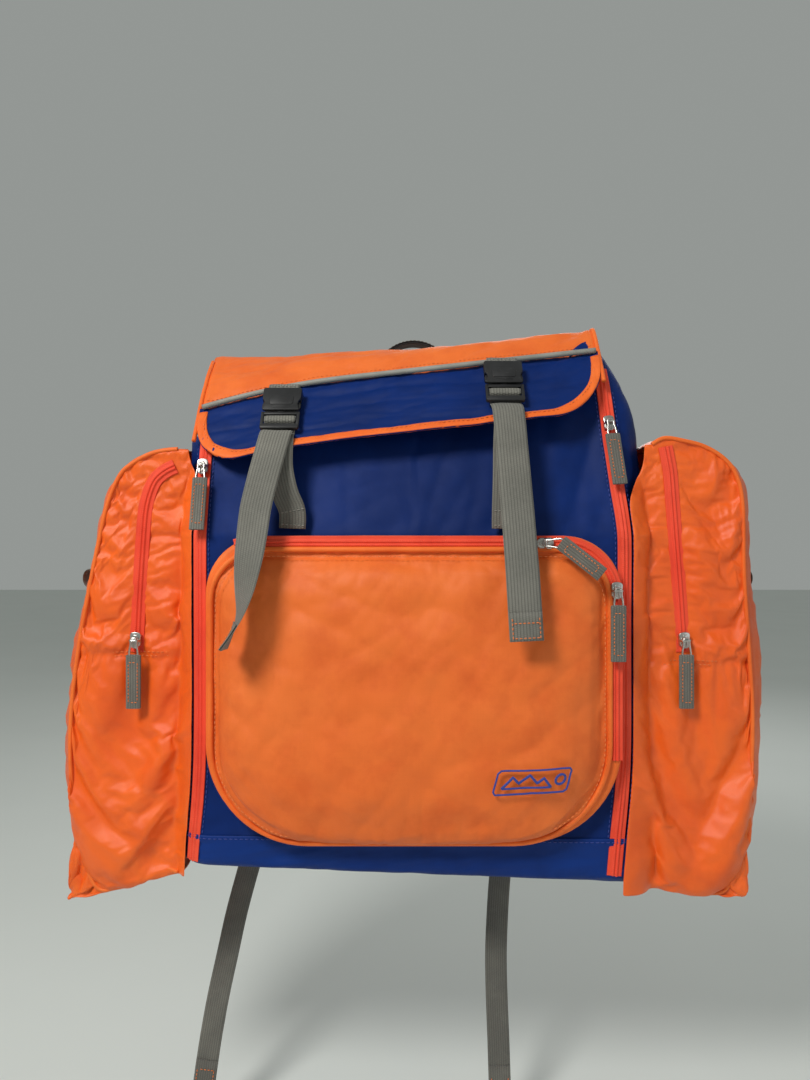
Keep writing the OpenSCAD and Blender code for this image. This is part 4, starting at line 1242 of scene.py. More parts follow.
def pocket_front_y(side, u, w, x, z):
    """The face's y; u runs from the bag's edge outwards, w from the bottom up."""
    lap = 1 - ease((abs(x) - abs(wing_x(side, z))) / 26)
    if lap > 0:
        rest = pocket_face_y(side, u, w, x, z)
        proud = 4.6 if z < BAND_Z + 8 else 2.4
        return lerp(rest, min(rest, bag_front_at(math.copysign(min(abs(x), 192), x), z) - proud), lap)
    return pocket_face_y(side, u, w, x, z)


def pocket_face_y(side, u, w, x, z):
    line = ZIP_PATH[side]
    near = float(np.min(np.hypot(line[:, 0] - x, line[:, 1] - z)))
    calm = 1 - 0.94 * math.exp(-(near / 12) ** 2)
    swell = 9.0 * sin(pi * clamp(u)) ** 0.7 * sin(pi * clamp(w)) ** 0.6
    edge = ease(min(u, 1 - u, w, 1 - w) / 0.07)
    drop = pocket_crinkle(side, x, z, u) * edge
    y = SIDE_FRONT - (swell - drop) * calm + 0.6
    slump = 5 * math.exp(-((z + 400) / 40) ** 2) * sin(pi * clamp(u)) * calm
    return y - slump


ZIP_PATH = {side: spline(zip_line(side), 14) for side in (LEFT, RIGHT)}


def wing_x(side, z):
    """Where the pocket's front meets the bag: beside the side zip, but further out near the pocket's top."""
    near = abs(ZIP_LINE[side](z)) + 7
    top = ease((z + pick((132, 158), side)) / pick((20, 44), side))
    return lerp(near, pick((184, 187), side), top)


def coons(bottom, top, inner, outer, cols, rows):
    """Patch between four curves given as functions of 0..1."""
    P = np.zeros((rows + 1, cols + 1, 2))
    c00, c10, c01, c11 = bottom(0), bottom(1), top(0), top(1)
    for j in range(rows + 1):
        v = j / rows
        for i in range(cols + 1):
            u = i / cols
            P[j, i] = ((1 - v) * bottom(u) + v * top(u) + (1 - u) * inner(v) + u * outer(v)
                       - ((1 - u) * (1 - v) * c00 + u * (1 - v) * c10 + (1 - u) * v * c01 + u * v * c11))
    return P


def part_of(points, f):
    far = np.concatenate([[0], np.cumsum(np.linalg.norm(np.diff(points, axis=0), axis=1))])
    return np.array([np.interp(f * far[-1], far, points[:, k]) for k in range(points.shape[1])])


FRONT_COLS, FRONT_ROWS = 54, 150
for side in (LEFT, RIGHT):
    front = spline(FRONT_LINE[side], 10)
    mid = spline(MID_LINE[side], 10)
    front[:, 0] *= side
    mid[:, 0] *= side
    top_end, low_start = 40, 130
    edges = {"top": front[:top_end + 1], "outer": front[top_end:low_start + 1][::-1],
             "bottom": front[low_start:][::-1]}
    inner_line = np.array([[side * wing_x(side, z), z] for z in np.linspace(front[-1][1], front[0][1], 60)])
    edges["top"] = np.concatenate([inner_line[-1:], edges["top"]])
    edges["bottom"] = np.concatenate([edges["bottom"], inner_line[:1]])
    edges["bottom"] = edges["bottom"][::-1]
    patch = coons(lambda u: part_of(edges["bottom"], u), lambda u: part_of(edges["top"], u),
                  lambda v: part_of(inner_line, v), lambda v: part_of(edges["outer"], v), FRONT_COLS, FRONT_ROWS)
    rows, pins, high = [], [], []
    for j in range(FRONT_ROWS + 1):
        row = []
        for i in range(FRONT_COLS + 1):
            x, z = patch[j, i]
            u, w = i / FRONT_COLS, j / FRONT_ROWS
            row.append((x, pocket_front_y(side, u, w, x, z), z))
            near = float(np.min(np.hypot(ZIP_PATH[side][:, 0] - x, ZIP_PATH[side][:, 1] - z)))
            border = i in (0, FRONT_COLS) or j in (0, FRONT_ROWS)
            seam = abs(z - UPPER_SEAM_Z[side] - 1.6) < 2.2
            high.append(bag_front_at(math.copysign(min(abs(x), 192), x), z) - 3 if abs(x) < 198 else -88)
            pins.append(1.0 if border or near < 6 else (0.8 if seam else (0.3 if near < 9 else 0.0)))
        rows.append(row)
    P = np.array(rows)
    name = hand(side) + "_pocket"
    Mesh().grid(P, flip=facing(P, (side * 240, 0, -290))[1]).done(
        name + "_front_cloth", "nylon", "bag", (name,), thick=0.9, sub=1,
        cloth=(pins, {"shrink": -0.07, "pressure": 2.0, "gravity": 0.5, "cap": 12, "low": -119, "high": high}))
    # Gusset: from the front's edge out to the widest line and back to the bag's back corner
    rows = []
    for f in np.linspace(0, 1, 29):
        row = []
        for k in range(len(front)):
            a, b = front[k], mid[k]
            back = np.array([lerp(side * SIDE_X, a[0], 0.93), lerp(-288, a[1], 0.985)])
            arc = sin(pi * min(f, 1 - f)) if f < 0.5 else sin(pi * (1 - f))
            start = a if f < 0.5 else back
            x, z = start + (b - start) * clamp(arc) ** 0.8
            y = lerp(SIDE_FRONT + 0.5, SIDE_BACK, f)
            push = unit(np.array([x - side * 225, z + 288]))
            c, d = turned(z + 0.3 * y, y, 78)
            sink = (3.6 * folds(c, d, 60, 26, 61.0 + side, 1.6) + 1.6 * folds(z, y, 50, 15, 63.0, 1.8)) * ease(
                min(f, 1 - f) / 0.12)
            row.append((x - push[0] * sink, y, z - push[1] * sink))
        rows.append(row)
    P = np.array(rows)
    Mesh().grid(P, flip=facing(P, (side * 225, -58, -288))[1]).done(name + "_gusset_cloth", "nylon", "bag", (),
                                                                  thick=0.9)
    # Back face, drawn in to the bag's back corner
    edge = np.array([(lerp(side * SIDE_X, p[0], 0.93), lerp(-288, p[1], 0.985)) for p in front])
    e = {"top": edge[:top_end + 1], "outer": edge[top_end:low_start + 1][::-1], "bottom": edge[low_start:][::-1]}
    patch = coons(lambda u: part_of(e["bottom"], u), lambda u: part_of(e["top"], u),
                  lambda v: part_of(np.array([edge[-1], edge[0]]), v), lambda v: part_of(e["outer"], v), 40, 110)
    rows = []
    for j in range(111):
        row = []
        for i in range(41):
            x, z = patch[j, i]
            u, w = i / 40, j / 110
            c, d = turned(x, z, 70)
            lift = 5 * sin(pi * u) * sin(pi * w) - 3.2 * folds(c, d, 90, 30, 71.0 + side, 1.7) * ease(min(
                u, 1 - u, w, 1 - w) / 0.1)
            row.append((x, SIDE_BACK + lift, z))
        rows.append(row)
    P = np.array(rows)
    Mesh().grid(P, flip=facing(P, (side * 240, -100, -290))[1]).done(
        name + "_back_cloth", "nylon", "bag", (), thick=0.9)
    # Corded edge round the front, and double stitching at the cross seam
    ring = [(p[0], SIDE_FRONT + 0.2, p[1]) for p in front]
    Mesh().tube(ring, 1.8, 9).done(name + "_cord", "trim", "bag")
    thread = Mesh()

    def on_front(x, z):
        span = abs(np.interp(z, front[top_end:low_start + 1][::-1, 1], front[top_end:low_start + 1][::-1, 0])
                   - side * 193)
        u = clamp((abs(x) - 193) / max(20, span), 0.001, 1)
        w = clamp((z + 455) / 345, 0.001, 0.999)
        return np.array([x, pocket_front_y(side, u, w, x, z) - 0.35, z])

    for shift in (0.0, 3.2):
        z0 = UPPER_SEAM_Z[side] + shift
        far = abs(np.interp(z0, front[top_end:low_start + 1][::-1, 1], front[top_end:low_start + 1][::-1, 0]))
        line = [on_front(side * x, z0 + (1.5 * ripple(x / 30, 2.0)))
                for x in np.linspace(196, far - 3, 60)]
        thread.stitches(line, [(0, -1, 0)] * len(line), 2.4, 1.3, 0.34)
    thread.done(name + "_stitching", "thread", "bag")
    path = ZIP_PATH[side]
    track = Mesh()
    zip_track(track, [(x, SIDE_FRONT + 0.2, z) for x, z in path], [(0, -1, 0)] * len(path), 12)
    track.done(name + "_zip_track", "coral", "bag", (name + "_zip",), thick=0.6)

# Gear loops folded from webbing on the outer gussets
loops = Mesh()
for side in (LEFT, RIGHT):
    x0 = side * pick((280, 286), side)
    bow = [[x0 - side * 3, 0, -207], [x0 + side * 3, 0, -208], [x0 + side * 5.5, 0, -211.5], [x0 + side * 6, 0, -215],
           [x0 + side * 5.5, 0, -218.5], [x0 + side * 3, 0, -222], [x0 - side * 3, 0, -223]]
    path = spline(bow, 5)
    frames = []
    for k, p in enumerate(path):
        d = unit(path[min(k + 1, len(path) - 1)] - path[max(k - 1, 0)])
        s = np.array([0.0, 1.0, 0.0])
        frames.append((p + np.array([0, -50, 0]), s, unit(np.cross(s, d)) * -side))
    web(loops, frames, 20, 1.2)
loops.done("gear_loops", "web_dark", "bag", ("gear_tabs",))


# ---------------------------------------------------------------- lid

LID_PROFILE = [[-13, -32], [-22, -16], [-38, -13], [-60, -20], [-80, -44], [-91, -60], [-101, -74], [-110, -86],
               [-118, -98]]
FOLD, SEAM, LIP_CORNER, LID_T = 1, 4, 50, 2.4
LIP_END = len(LID_PROFILE) - 1
STEPS = 12
profile_line = spline(LID_PROFILE[:SEAM + 1], STEPS).tolist() + spline(LID_PROFILE[SEAM:], STEPS).tolist()[1:]
profile_line = np.array(profile_line)


def lid_base(u):
    """Point [y, z] and outward direction of the lid's profile at station u."""
    k = clamp(u, 0, LIP_END) * STEPS
    p = np.array([np.interp(k, range(len(profile_line)), profile_line[:, c]) for c in (0, 1)])
    a = np.array([np.interp(max(k - 2, 0), range(len(profile_line)), profile_line[:, c]) for c in (0, 1)])
    b = np.array([np.interp(min(k + 2, LIP_END * STEPS), range(len(profile_line)), profile_line[:, c]) for c in (0, 1)])
    d = unit(b - a)
    return p, np.array([d[1], -d[0]])


def lid_point(x, u, off=0.0):
    """Point of the lid, off millimetres outside its inner face."""
    p, n = lid_base(u)
    rise = sag(x) * clamp((u - FOLD) / 2)
    return np.array([x, p[0] + n[0] * off, p[1] + n[1] * off + rise]), np.array([0, n[0], n[1]])


def lid_crease(x, u, strength=1.0):
    """Depth of the lid's folds: tension lines between the buckles and puckers along the seams."""
    y = u * 24
    a, b = turned(x, y, 6)
    depth = 2.0 * folds(a, b, 110, 22, 81.0, 1.6) + 1.3 * folds(*turned(x, y, -24), 80, 20, 83.0, 1.8)
    depth += 1.3 * math.exp(-abs(u - SEAM) * 24 / 8) * folds(y, x, 50, 9, 85.0, 1.4)
    depth += 1.2 * (0.5 + 0.5 * ripple(x / 48, y / 40, 87.0))
    return strength * depth


def lip_lift(x, inset):
    """How far up the lip its lower edge runs at x from its middle, for the rounded corners."""
    r = LIP_CORNER - inset
    d = min(r, max(0, abs(x) - LID_W / 2 + LIP_CORNER))
    return inset + r - sqrt(max(0, r * r - d * d))


LIP_FALL = LID_PROFILE[SEAM][1] - LID_PROFILE[LIP_END][1]


def lip_station(x, inset):
    return LIP_END - (LIP_END - SEAM) * lip_lift(x, inset) / LIP_FALL


def flare(x, u):
    """Loose lower edge of the lip: it lifts off a little between the buckles."""
    f = ease((u - SEAM) / (LIP_END - SEAM))
    return f * (1.4 * ripple((x - LID_X) / 40, 2.0, 5.0))


cols = 150
xs = [LID_X - LID_W / 2 + LID_W * i / cols for i in range(cols + 1)]
# The lid's hem is sewn flat over the top of the bag's back
rows = [[(x * share, y, z) for x in xs] for y, z, share in ((-8.7, -46, 0.86), (-8.7, -42, 0.88), (-9.4, -37, 0.92))]
for u in np.linspace(0, SEAM, 61):
    row = []
    for x in xs:
        p, n = lid_point(x, u, LID_T)
        edge = min(x - xs[0], xs[-1] - x)
        sink = lid_crease(x, u) * ease(edge / 12) * ease(u / 0.6)
        roll = 2.2 * (1 - ease(edge / 6))
        row.append(p - n * (sink + roll))
    rows.append(row)
P = np.array(rows)
lid_top = Mesh().grid(P, flip=facing(P, (LID_X, -60, -120))[1]).done("lid_top_cloth", "lid", None,
                                                                    ("lid_panel", "lid_back"), thick=1.3, ride=False)
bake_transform(lid_top)

rows = []
lip_cols = [LID_X - LID_W / 2 + LIP_CORNER * (1 - sin(a)) for a in np.linspace(pi / 2, 0, 26)] + list(
    np.linspace(LID_X - LID_W / 2 + LIP_CORNER, LID_X + LID_W / 2 - LIP_CORNER, 100))[1:-1] + [
    LID_X + LID_W / 2 - LIP_CORNER * (1 - sin(a)) for a in np.linspace(0, pi / 2, 26)]


def lip_surface(x, u, off=0.0):
    p, n = lid_point(x, u, LID_T)
    edge = min(x - LID_X + LID_W / 2, LID_X + LID_W / 2 - x)
    calm = min(ease(edge / 10), ease((LIP_END - u + 0.05) / 0.7) * 0.8 + 0.2)
    near = min(abs(x - BUCKLE_X[0]), abs(x - BUCKLE_X[1]))
    sink = lid_crease(x, u, 0.8) * calm * (0.35 + 0.65 * ease((near - 10) / 14))
    return p - n * (sink - flare(x, u) * ease((near - 10) / 20) - off), n


for f in np.linspace(0, 1, 41):
    row = []
    for x in lip_cols:
        u = lerp(SEAM - 0.02, lip_station(x - LID_X, 0), f)
        row.append(lip_surface(x, u)[0])
    rows.append(row)
P = np.array(rows)
Mesh().grid(P, flip=facing(P, (LID_X, -60, -120))[1]).done("lid_lip_cloth", "blue", "lid", ("lid_lip",), thick=1.4)

# Binding folded over the lip's free edge
BIND = 7.5
mesh = Mesh()
rows = []
for f, off in ((0, 0.0), (0.02, 0.7), (0.25, 0.95), (0.5, 1.0), (0.75, 0.95), (0.94, 0.8), (1.0, 0.2), (1.0, -1.2),
               (0.94, -2.3), (0.5, -2.4), (0.1, -2.2)):
    row = []
    for x in lip_cols:
        c = x - LID_X
        out_u = lip_station(c, 0)
        in_u = max(SEAM, lip_station(c, BIND)) if abs(c) < LID_W / 2 - BIND else SEAM
        inner_x = LID_X + clamp(c, -(LID_W / 2 - BIND), LID_W / 2 - BIND)
        a = lip_surface(inner_x, in_u if abs(c) < LID_W / 2 - BIND else max(SEAM, lip_station(math.copysign(
            LID_W / 2 - BIND, c), BIND)), off)[0]
        b, n = lip_surface(x, out_u, off)
        p = a + (b - a) * f
        pucker = 0.25 * ripple(x / 3.5, f * 2, 3.0)
        row.append(p + n * pucker)
    rows.append(row)
P = np.array(rows)
mesh.grid(P, flip=facing(P, (LID_X, -60, -120))[1])
mesh.done("lid_binding_cloth", "trim", "lid", ("lid_binding",), thick=0.5)
# Side edges of the top: a narrow hem that runs on from the binding
for end, x in (("left", xs[0]), ("right", xs[-1])):
    hem = [lid_point(x, u, LID_T - 1.6)[0] for u in np.linspace(1.7, LIP_END - 2.2, 50)]
    Mesh().tube(hem, 1.9, 8).done("lid_hem_" + end, "trim", "lid")

pipe = [lid_point(x, SEAM, LID_T + 1.1)[0] + np.array([0, -0.4, 0.2]) for x in np.linspace(xs[0] + 3, xs[-1] - 3, 120)]
Mesh().tube(pipe, 2.3, 10).done("lid_piping_cord", "reflect", "lid", ("lid_piping",))
thread = Mesh()
for u, off in ((SEAM - 0.26, LID_T), (SEAM - 0.36, LID_T)):
    line = []
    for x in np.linspace(xs[0] + 4, xs[-1] - 4, 160):
        p, n = lid_point(x, u, LID_T)
        line.append((p - n * lid_crease(x, u) * ease(min(x - xs[0], xs[-1] - x) / 12), n))
    thread.stitches([p for p, n in line], [n for p, n in line], 2.5, 1.3, 0.34, 0, 0.05)
line = []
for x in lip_cols[3:-3]:
    c = x - LID_X
    u = lip_station(c, BIND * 0.72)
    if abs(c) < LID_W / 2 - BIND * 0.7:
        line.append(lip_surface(x, max(SEAM + 0.1, u), 1.0))
thread.stitches([p for p, n in line], [n for p, n in line], 2.5, 1.3, 0.34)
thread.done("lid_stitching", "thread", "lid")

# ---------------------------------------------------------------- buckles


def mirrored(right):
    return right + [(-x, z) for x, z in reversed(right)]


for side in (LEFT, RIGHT):
    name, place = hand(side), lip_place(side)
    socket = Mesh(place)
    front = mirrored([(13.4, -2.4), (14.6, -1.8), (13.9, 1.0), (13.2, 4.2), (13.9, 7.4), (15.2, 9.6), (15.5, 12.5),
                      (15.5, 20.6), (14.4, 22.0)])
    socket.prism(front, -10, -8.1)
    socket.prism(mirrored([(13.2, -0.5), (12.6, 3.8), (13.4, 8.0), (15.2, 10), (15.5, 20.6), (14.4, 22)]), -3.9, -2.2)
    for s in (-1, 1):
        socket.box((s * 14.6 - 0.9, -8.6, 9.6), (s * 14.6 + 0.9, -3.4, 17))
        socket.box((s * 14.0 - 1.5, -9.0, 16.6), (s * 14.0 + 1.5, -3.0, 21.6))
    socket.box((-12.6, -8.4, 16.4), (12.6, -3.4, 18.0))
    socket.box((-12.6, -9.2, 20.4), (12.6, -3.4, 21.9))
    socket.prism(mirrored([(8.5, 3.2), (9.4, 4.4), (9.8, 11.5), (8.2, 13.6)]), -10.55, -9.6)
    for z in (-0.4, 1.2):
        socket.box((-7, -10.35, z), (7, -9.8, z + 0.7))
    socket.done(name + "_socket_body", "plastic", "lid", (name + "_buckle_socket",), bevel=0.6)
    plug = Mesh(place)
    for s in (-1, 1):
        plug.box((s * 14.25 - 1.25, -8, -20), (s * 14.25 + 1.25, -4.7, -2.8))
    plug.box((-13.4, -7.8, -5.6), (13.4, -4.8, -2.6))
    plug.box((-13.2, -7.0, -11.9), (13.2, -5.2, -8.7))
    plug.prism(mirrored([(14.6, -21.0), (15.3, -19.8), (15.3, -17.4), (13.2, -16.2)]), -8.7, -4.9)
    plug.box((-2.4, -7.5, -2.8), (2.4, -4.9, 13))
    for x in (-8, -4, 0, 4, 8):
        plug.box((x - 0.5, -7.35, -11.6), (x + 0.5, -5.4, -9.0))
    plug.done(name + "_plug_body", "plastic", name + "_plug", (name + "_buckle_plug",), bevel=0.5)
    for which, hand_x in (("outer", side), ("inner", -side)):
        arm = Mesh(place)
        xs_out = [(9.9, -2.4), (12.5, -2.4), (12.9, 0.0), (15.2, 0.8), (15.45, 3.6), (15.0, 7.4), (12.9, 8.8),
                  (12.6, 13.2), (12.0, 15.2), (10.4, 15.2), (9.7, 13.2), (9.9, 4.0)]
        outline = [(hand_x * x, z) for x, z in xs_out]
        arm.prism(outline if hand_x > 0 else outline[::-1], -7.6, -4.8)
        for z in (2.0, 3.6, 5.2):
            arm.box((min(hand_x * 14.2, hand_x * 15.7), -7.3, z), (max(hand_x * 14.2, hand_x * 15.7), -5.1, z + 0.6))
        arm.done("%s_%s_prong" % (name, which), "plastic", "%s_%s_arm" % (name, which),
                 ("%s_arm_%s" % (name, which),), bevel=0.35)

# ---------------------------------------------------------------- sliders and pulls

TAPE_T, RUN, SLIDER_H, BAIL_UP = 0.8, 0.3, 4.4, 3.6
BAIL = TAPE_T + RUN + SLIDER_H + BAIL_UP


def turn_y(degrees):
    return Matrix.Rotation(radians(degrees), 4, "Y")


def slider(name, place):
    """Shield-shaped slider body on its coil, with the arched bail that holds the pull."""
    top = -(TAPE_T + RUN + SLIDER_H)
    body = Mesh(place)
    shield = mirrored([(1.6, -6.6), (3.0, -5.4), (3.7, -2.6), (4.2, 1.6), (4.4, 4.4), (3.4, 6.0), (1.2, 6.6)])
    body.prism(shield, top, top + 1.7)
    body.prism(mirrored([(1.0, -4.6), (1.9, -2.0), (2.2, 2.2), (1.4, 4.4)]), top - 0.7, top + 0.3)
    for s in (-1, 1):
        body.box((s * 3.55 - 0.55, top + 0.8, -4.4), (s * 3.55 + 0.55, -TAPE_T - RUN * 0.5, 4.6))
    done = body.done(name + "_body", "metal", name, (name,), bevel=0.45)
    arch = [(-3.2, top + 0.4, 0), (-3.3, top - 1.6, 0), (-2.9, top - 3.1, 0), (-2.0, top - BAIL_UP, 0), (0, top - BAIL_UP - 0.2, 0),
            (2.0, top - BAIL_UP, 0), (2.9, top - 3.1, 0), (3.3, top - 1.6, 0), (3.2, top + 0.4, 0)]
    Mesh(place).tube(spline(arch, 4), 1.0, 10).done(name + "_bail", "metal", name)
    return done


def pull(name, place, tab_turn=0, trim=0):
    """Metal link round the bail and a webbing tab folded through it, with a stitched box."""
    link = Mesh(place)
    ring = [(0, 0, 1.9), (1.5, 0, 1.6), (2.3, 0, 0.2), (2.4, 0, -3.0), (2.9, 0, -6.0), (3.4, 0, -9.6), (3.2, 0, -12.2),
            (1.8, 0, -13.0), (0, 0, -13.1)]
    loop = ring + [(-x, y, z) for x, y, z in reversed(ring[1:-1])]
    dense = spline(loop + [loop[0]], 4)[:-1]
    link.tube(dense, 0.85, 9, closed=True, squash=1.0)
    link.done(name + "_link", "metal", name)
    tab = Mesh(place @ Matrix.Translation((0, 0, -12.2)) @ turn_y(tab_turn))
    length = 42 - trim
    bend = [(0, 0.0, 0.7), (0, -0.75, 0.2), (0, -0.95, -2.4), (0, -0.85, -6), (0, -0.75, -length * 0.5),
            (0, -0.7, -length + 3), (0, -0.6, -length)]
    for sign in (1, -1):
        path = spline([(x, y * sign, z) for x, y, z in bend], 6)
        frames = []
        for k, p in enumerate(path):
            d = unit(path[min(k + 1, len(path) - 1)] - path[max(k - 1, 0)])
            s = np.array([1.0, 0, 0])
            o = np.cross(s, d)
            frames.append((p, s, o if o[1] * sign < 0 else -o))
        web(tab, frames, 11.5, 1.0, 0, cup=0.15, wave=0.15, seed=sign)
    y = -1.42
    box = [(-3.6, y, -5), (3.6, y, -5), (3.6, y, -length + 5), (-3.6, y, -length + 5), (-3.6, y, -5)]
    for a, b in zip(box, box[1:]):
        line = [np.array(a) + (np.array(b) - np.array(a)) * f for f in np.linspace(0, 1, 12)]
        tab.stitches(line, [(0, -1, 0)] * 12, 1.9, 0.9, 0.36, 1)
        back = [(p[0], -p[1], p[2]) for p in line]
        tab.stitches(back, [(0, 1, 0)] * 12, 1.9, 0.9, 0.36, 1)
    tab.done(name + "_tab", ["web_dark", "thread"], name, (name,))


def zip_lean(side):
    slide_x, top_x = pick((-226, 218), side), pick((-219, 209), side)
    return math.degrees(math.atan((slide_x - top_x) / (-140 + 263)))


def pair(slider_name, pull_name, place, lean=0, pull_lean=None, tab_turn=0, out=0, trim=0):
    slider(slider_name, place @ turn_y(lean))
    pull_place = place @ Matrix.Translation((0, -BAIL, 0)) @ turn_y(lean if pull_lean is None else pull_lean)
    pull(pull_name, pull_place @ Matrix.Rotation(radians(-out), 4, "X"), tab_turn, trim)


RIM_BACK = RIM_Y + TAPE_T
pair("pocket_slider_a", "pocket_pull_a", Matrix.Translation((100, RIM_BACK, ZIP_TOP_Z)), 90, -90, 38, 21, 4)
pair("pocket_slider_b", "pocket_pull_b", Matrix.Translation((ZIP_SIDE_X, RIM_BACK, -221)))
for side in (LEFT, RIGHT):
    pair(hand(side) + "_pocket_slider", hand(side) + "_pocket_pull",
         Matrix.Translation((pick((-226, 218), side), SIDE_FRONT, -263)), -zip_lean(side), 0)
    yoke_lean = -math.degrees(math.atan(YOKE_SLOPE))
    base = (Matrix.Translation((pick((-171, 166), side), BAG_FRONT, YOKE_Z)) @ Matrix.Rotation(radians(yoke_lean), 4, "X")
            @ turn_y(-pick((0, 4.4), side)) @ Matrix.Translation((0, 0, pick((56, 94), side))))
    pair(hand(side) + "_side_slider", hand(side) + "_side_pull", base)


# ---------------------------------------------------------------- the wearer's side

# Haul loop: folded webbing arch
LOOP_R = 34
arch = [(LOOP_R + 1.5, 0, -47), (LOOP_R + 1.5, 0, -40)] + [
    ((LOOP_R + 1.5) * cos(a), 0, -LOOP_R + (LOOP_R + 1.5) * sin(a)) for a in np.linspace(0, pi, 40)] + [
    (-LOOP_R - 1.5, 0, -40), (-LOOP_R - 1.5, 0, -47)]
frames = []
for k, p in enumerate(np.array(arch, float)):
    d = unit(np.array(arch[min(k + 1, len(arch) - 1)]) - np.array(arch[max(k - 1, 0)]))
    s = np.array([0.0, 1.0, 0.0])
    out = np.array([p[0], 0, p[2] + LOOP_R])
    out = np.array([math.copysign(1, p[0]), 0, 0]) if p[2] < -LOOP_R else unit(out)
    frames.append((p, s, out))
loop = Mesh()
for lift in (-0.78, 0.78):
    web(loop, frames, 19.5, 1.5, lift=lift)
for edge in (-8, 8):
    line, outs = on_band(frames, edge, 1.5)
    loop.stitches(line, outs, 2.4, 1.2, 0.36, 1)
loop.done("haul_loop_webbing", ["web_black", "thread_grey"], "bag", ("haul_loop",))

# Padded shoulder straps
STRAP_Y, STRAP_T = 4, 12
STRAP_MID = [[46, -66], [52, -110], [66, -160], [84, -210], [101, -250], [111, -290], [115, -326]]
STRAP_HALF = [26, 29, 31, 31, 29, 25, 20]
for side in (LEFT, RIGHT):
    mid = spline(STRAP_MID, 12)
    half = spline(STRAP_HALF, 12)
    rows, edge_a, edge_b, centre_line = [], [], [], []
    total = len(mid)
    for j in range(total):
        d = unit(mid[min(j + 1, total - 1)] - mid[max(j - 1, 0)])
        s = np.array([d[1], -d[0]])
        f = j / (total - 1)
        t = STRAP_T / 2 * (0.42 + 0.58 * ease(f / 0.1) * ease((1 - f) / 0.07))
        y0 = STRAP_Y + STRAP_T / 2 - 7.5 * (1 - ease(f / 0.16)) - 1.5 * (1 - ease((1 - f) / 0.05))
        row = []
        for k in range(40):
            a = 2 * pi * k / 40
            c, e = cos(a), sin(a)
            u = math.copysign(abs(c) ** 0.55, c)
            h = math.copysign(abs(e) ** 0.75, e)
            w = u * (half[j] - 1.0)
            pucker = 0.35 * ripple(j / 3.0, k / 3.0, 5.0 + side)
            swell = t * h * (1 - 0.25 * abs(u) ** 3) + pucker * h
            row.append((side * (mid[j][0] + s[0] * w), y0 + swell, mid[j][1] + s[1] * w))
        rows.append(row)
        edge_a.append((side * (mid[j][0] + s[0] * half[j] * 0.985), y0, mid[j][1] + s[1] * half[j] * 0.985))
        edge_b.append((side * (mid[j][0] - s[0] * half[j] * 0.985), y0, mid[j][1] - s[1] * half[j] * 0.985))
        centre_line.append((side * mid[j][0], y0 + t + 0.6, mid[j][1]))
    P = np.array(rows)
    pad = Mesh()
    centre = P.mean(axis=1, keepdims=True)
    n = normals(P)
    flip = float(np.sum(n * (P - centre))) < 0
    pad.grid(P, loop=True, flip=flip)
    count = P.shape[1]
    ends = [tuple(range(count)), tuple(range((total - 1) * count, total * count))]
    pad.faces += [ends[0][::-1] if not flip else ends[0], ends[1] if not flip else ends[1][::-1]]
    pad.mats += [0, 0]
    strap = pad.done(hand(side) + "_strap_pad", "mesh", "bag", (hand(side) + "_shoulder_strap",))
    for end, edge in (("inner", edge_a), ("outer", edge_b)):
        Mesh().tube(edge, 1.9, 9).done("%s_strap_%s_binding" % (hand(side), end), "binding", "bag")
    run = Mesh()
    line = centre_line[8:-1]
    frames = []
    for k, p in enumerate(line):
        p = np.array(p)
        d = unit(np.array(line[min(k + 1, len(line) - 1)]) - np.array(line[max(k - 1, 0)]))
        s = unit(np.cross(d, np.array([0, 1.0, 0])))
        frames.append((p, s, unit(np.cross(s, d)) if np.cross(s, d)[1] > 0 else unit(np.cross(d, s))))
    web(run, frames, 19, 1.2, cup=0.2)
    for edge in (-7.5, 7.5):
        a, b = on_band(frames, edge, 0.85)
        run.stitches(a, b, 2.6, 1.4, 0.36, 1)
    for k in (6, 22, 38, 54):
        if k < len(frames):
            p, s, o = frames[k]
            for turn in (0, 3):
                q = frames[min(k + turn, len(frames) - 1)][0]
                run.stitches([q + s * 7.5 + o * 0.85, q - s * 7.5 + o * 0.85], [o, o], 2.2, 1.0, 0.4, 1)
    run.done(hand(side) + "_strap_webbing", ["web_dark", "thread_grey"], "bag")
    # Wing that sews the strap to the yoke of the back
    wing = []
    for j in range(13):
        f = j / 12
        row = []
        for i in range(25):
            g = i / 24
            x = side * lerp(24, 74, g)
            z = lerp(-62, -98, f)
            y = -9.6 + 1.2 + 5.0 * sin(pi * f) ** 0.8 * (sin(pi * g) ** 0.35) + 0.3 * ripple(x / 5, z / 5)
            row.append((x, y, z))
        wing.append(row)
    P = np.array(wing)
    Mesh().grid(P, flip=facing(P, (side * 50, -40, -80))[1]).done(
        hand(side) + "_strap_wing", "binding", "bag", thick=1.2)

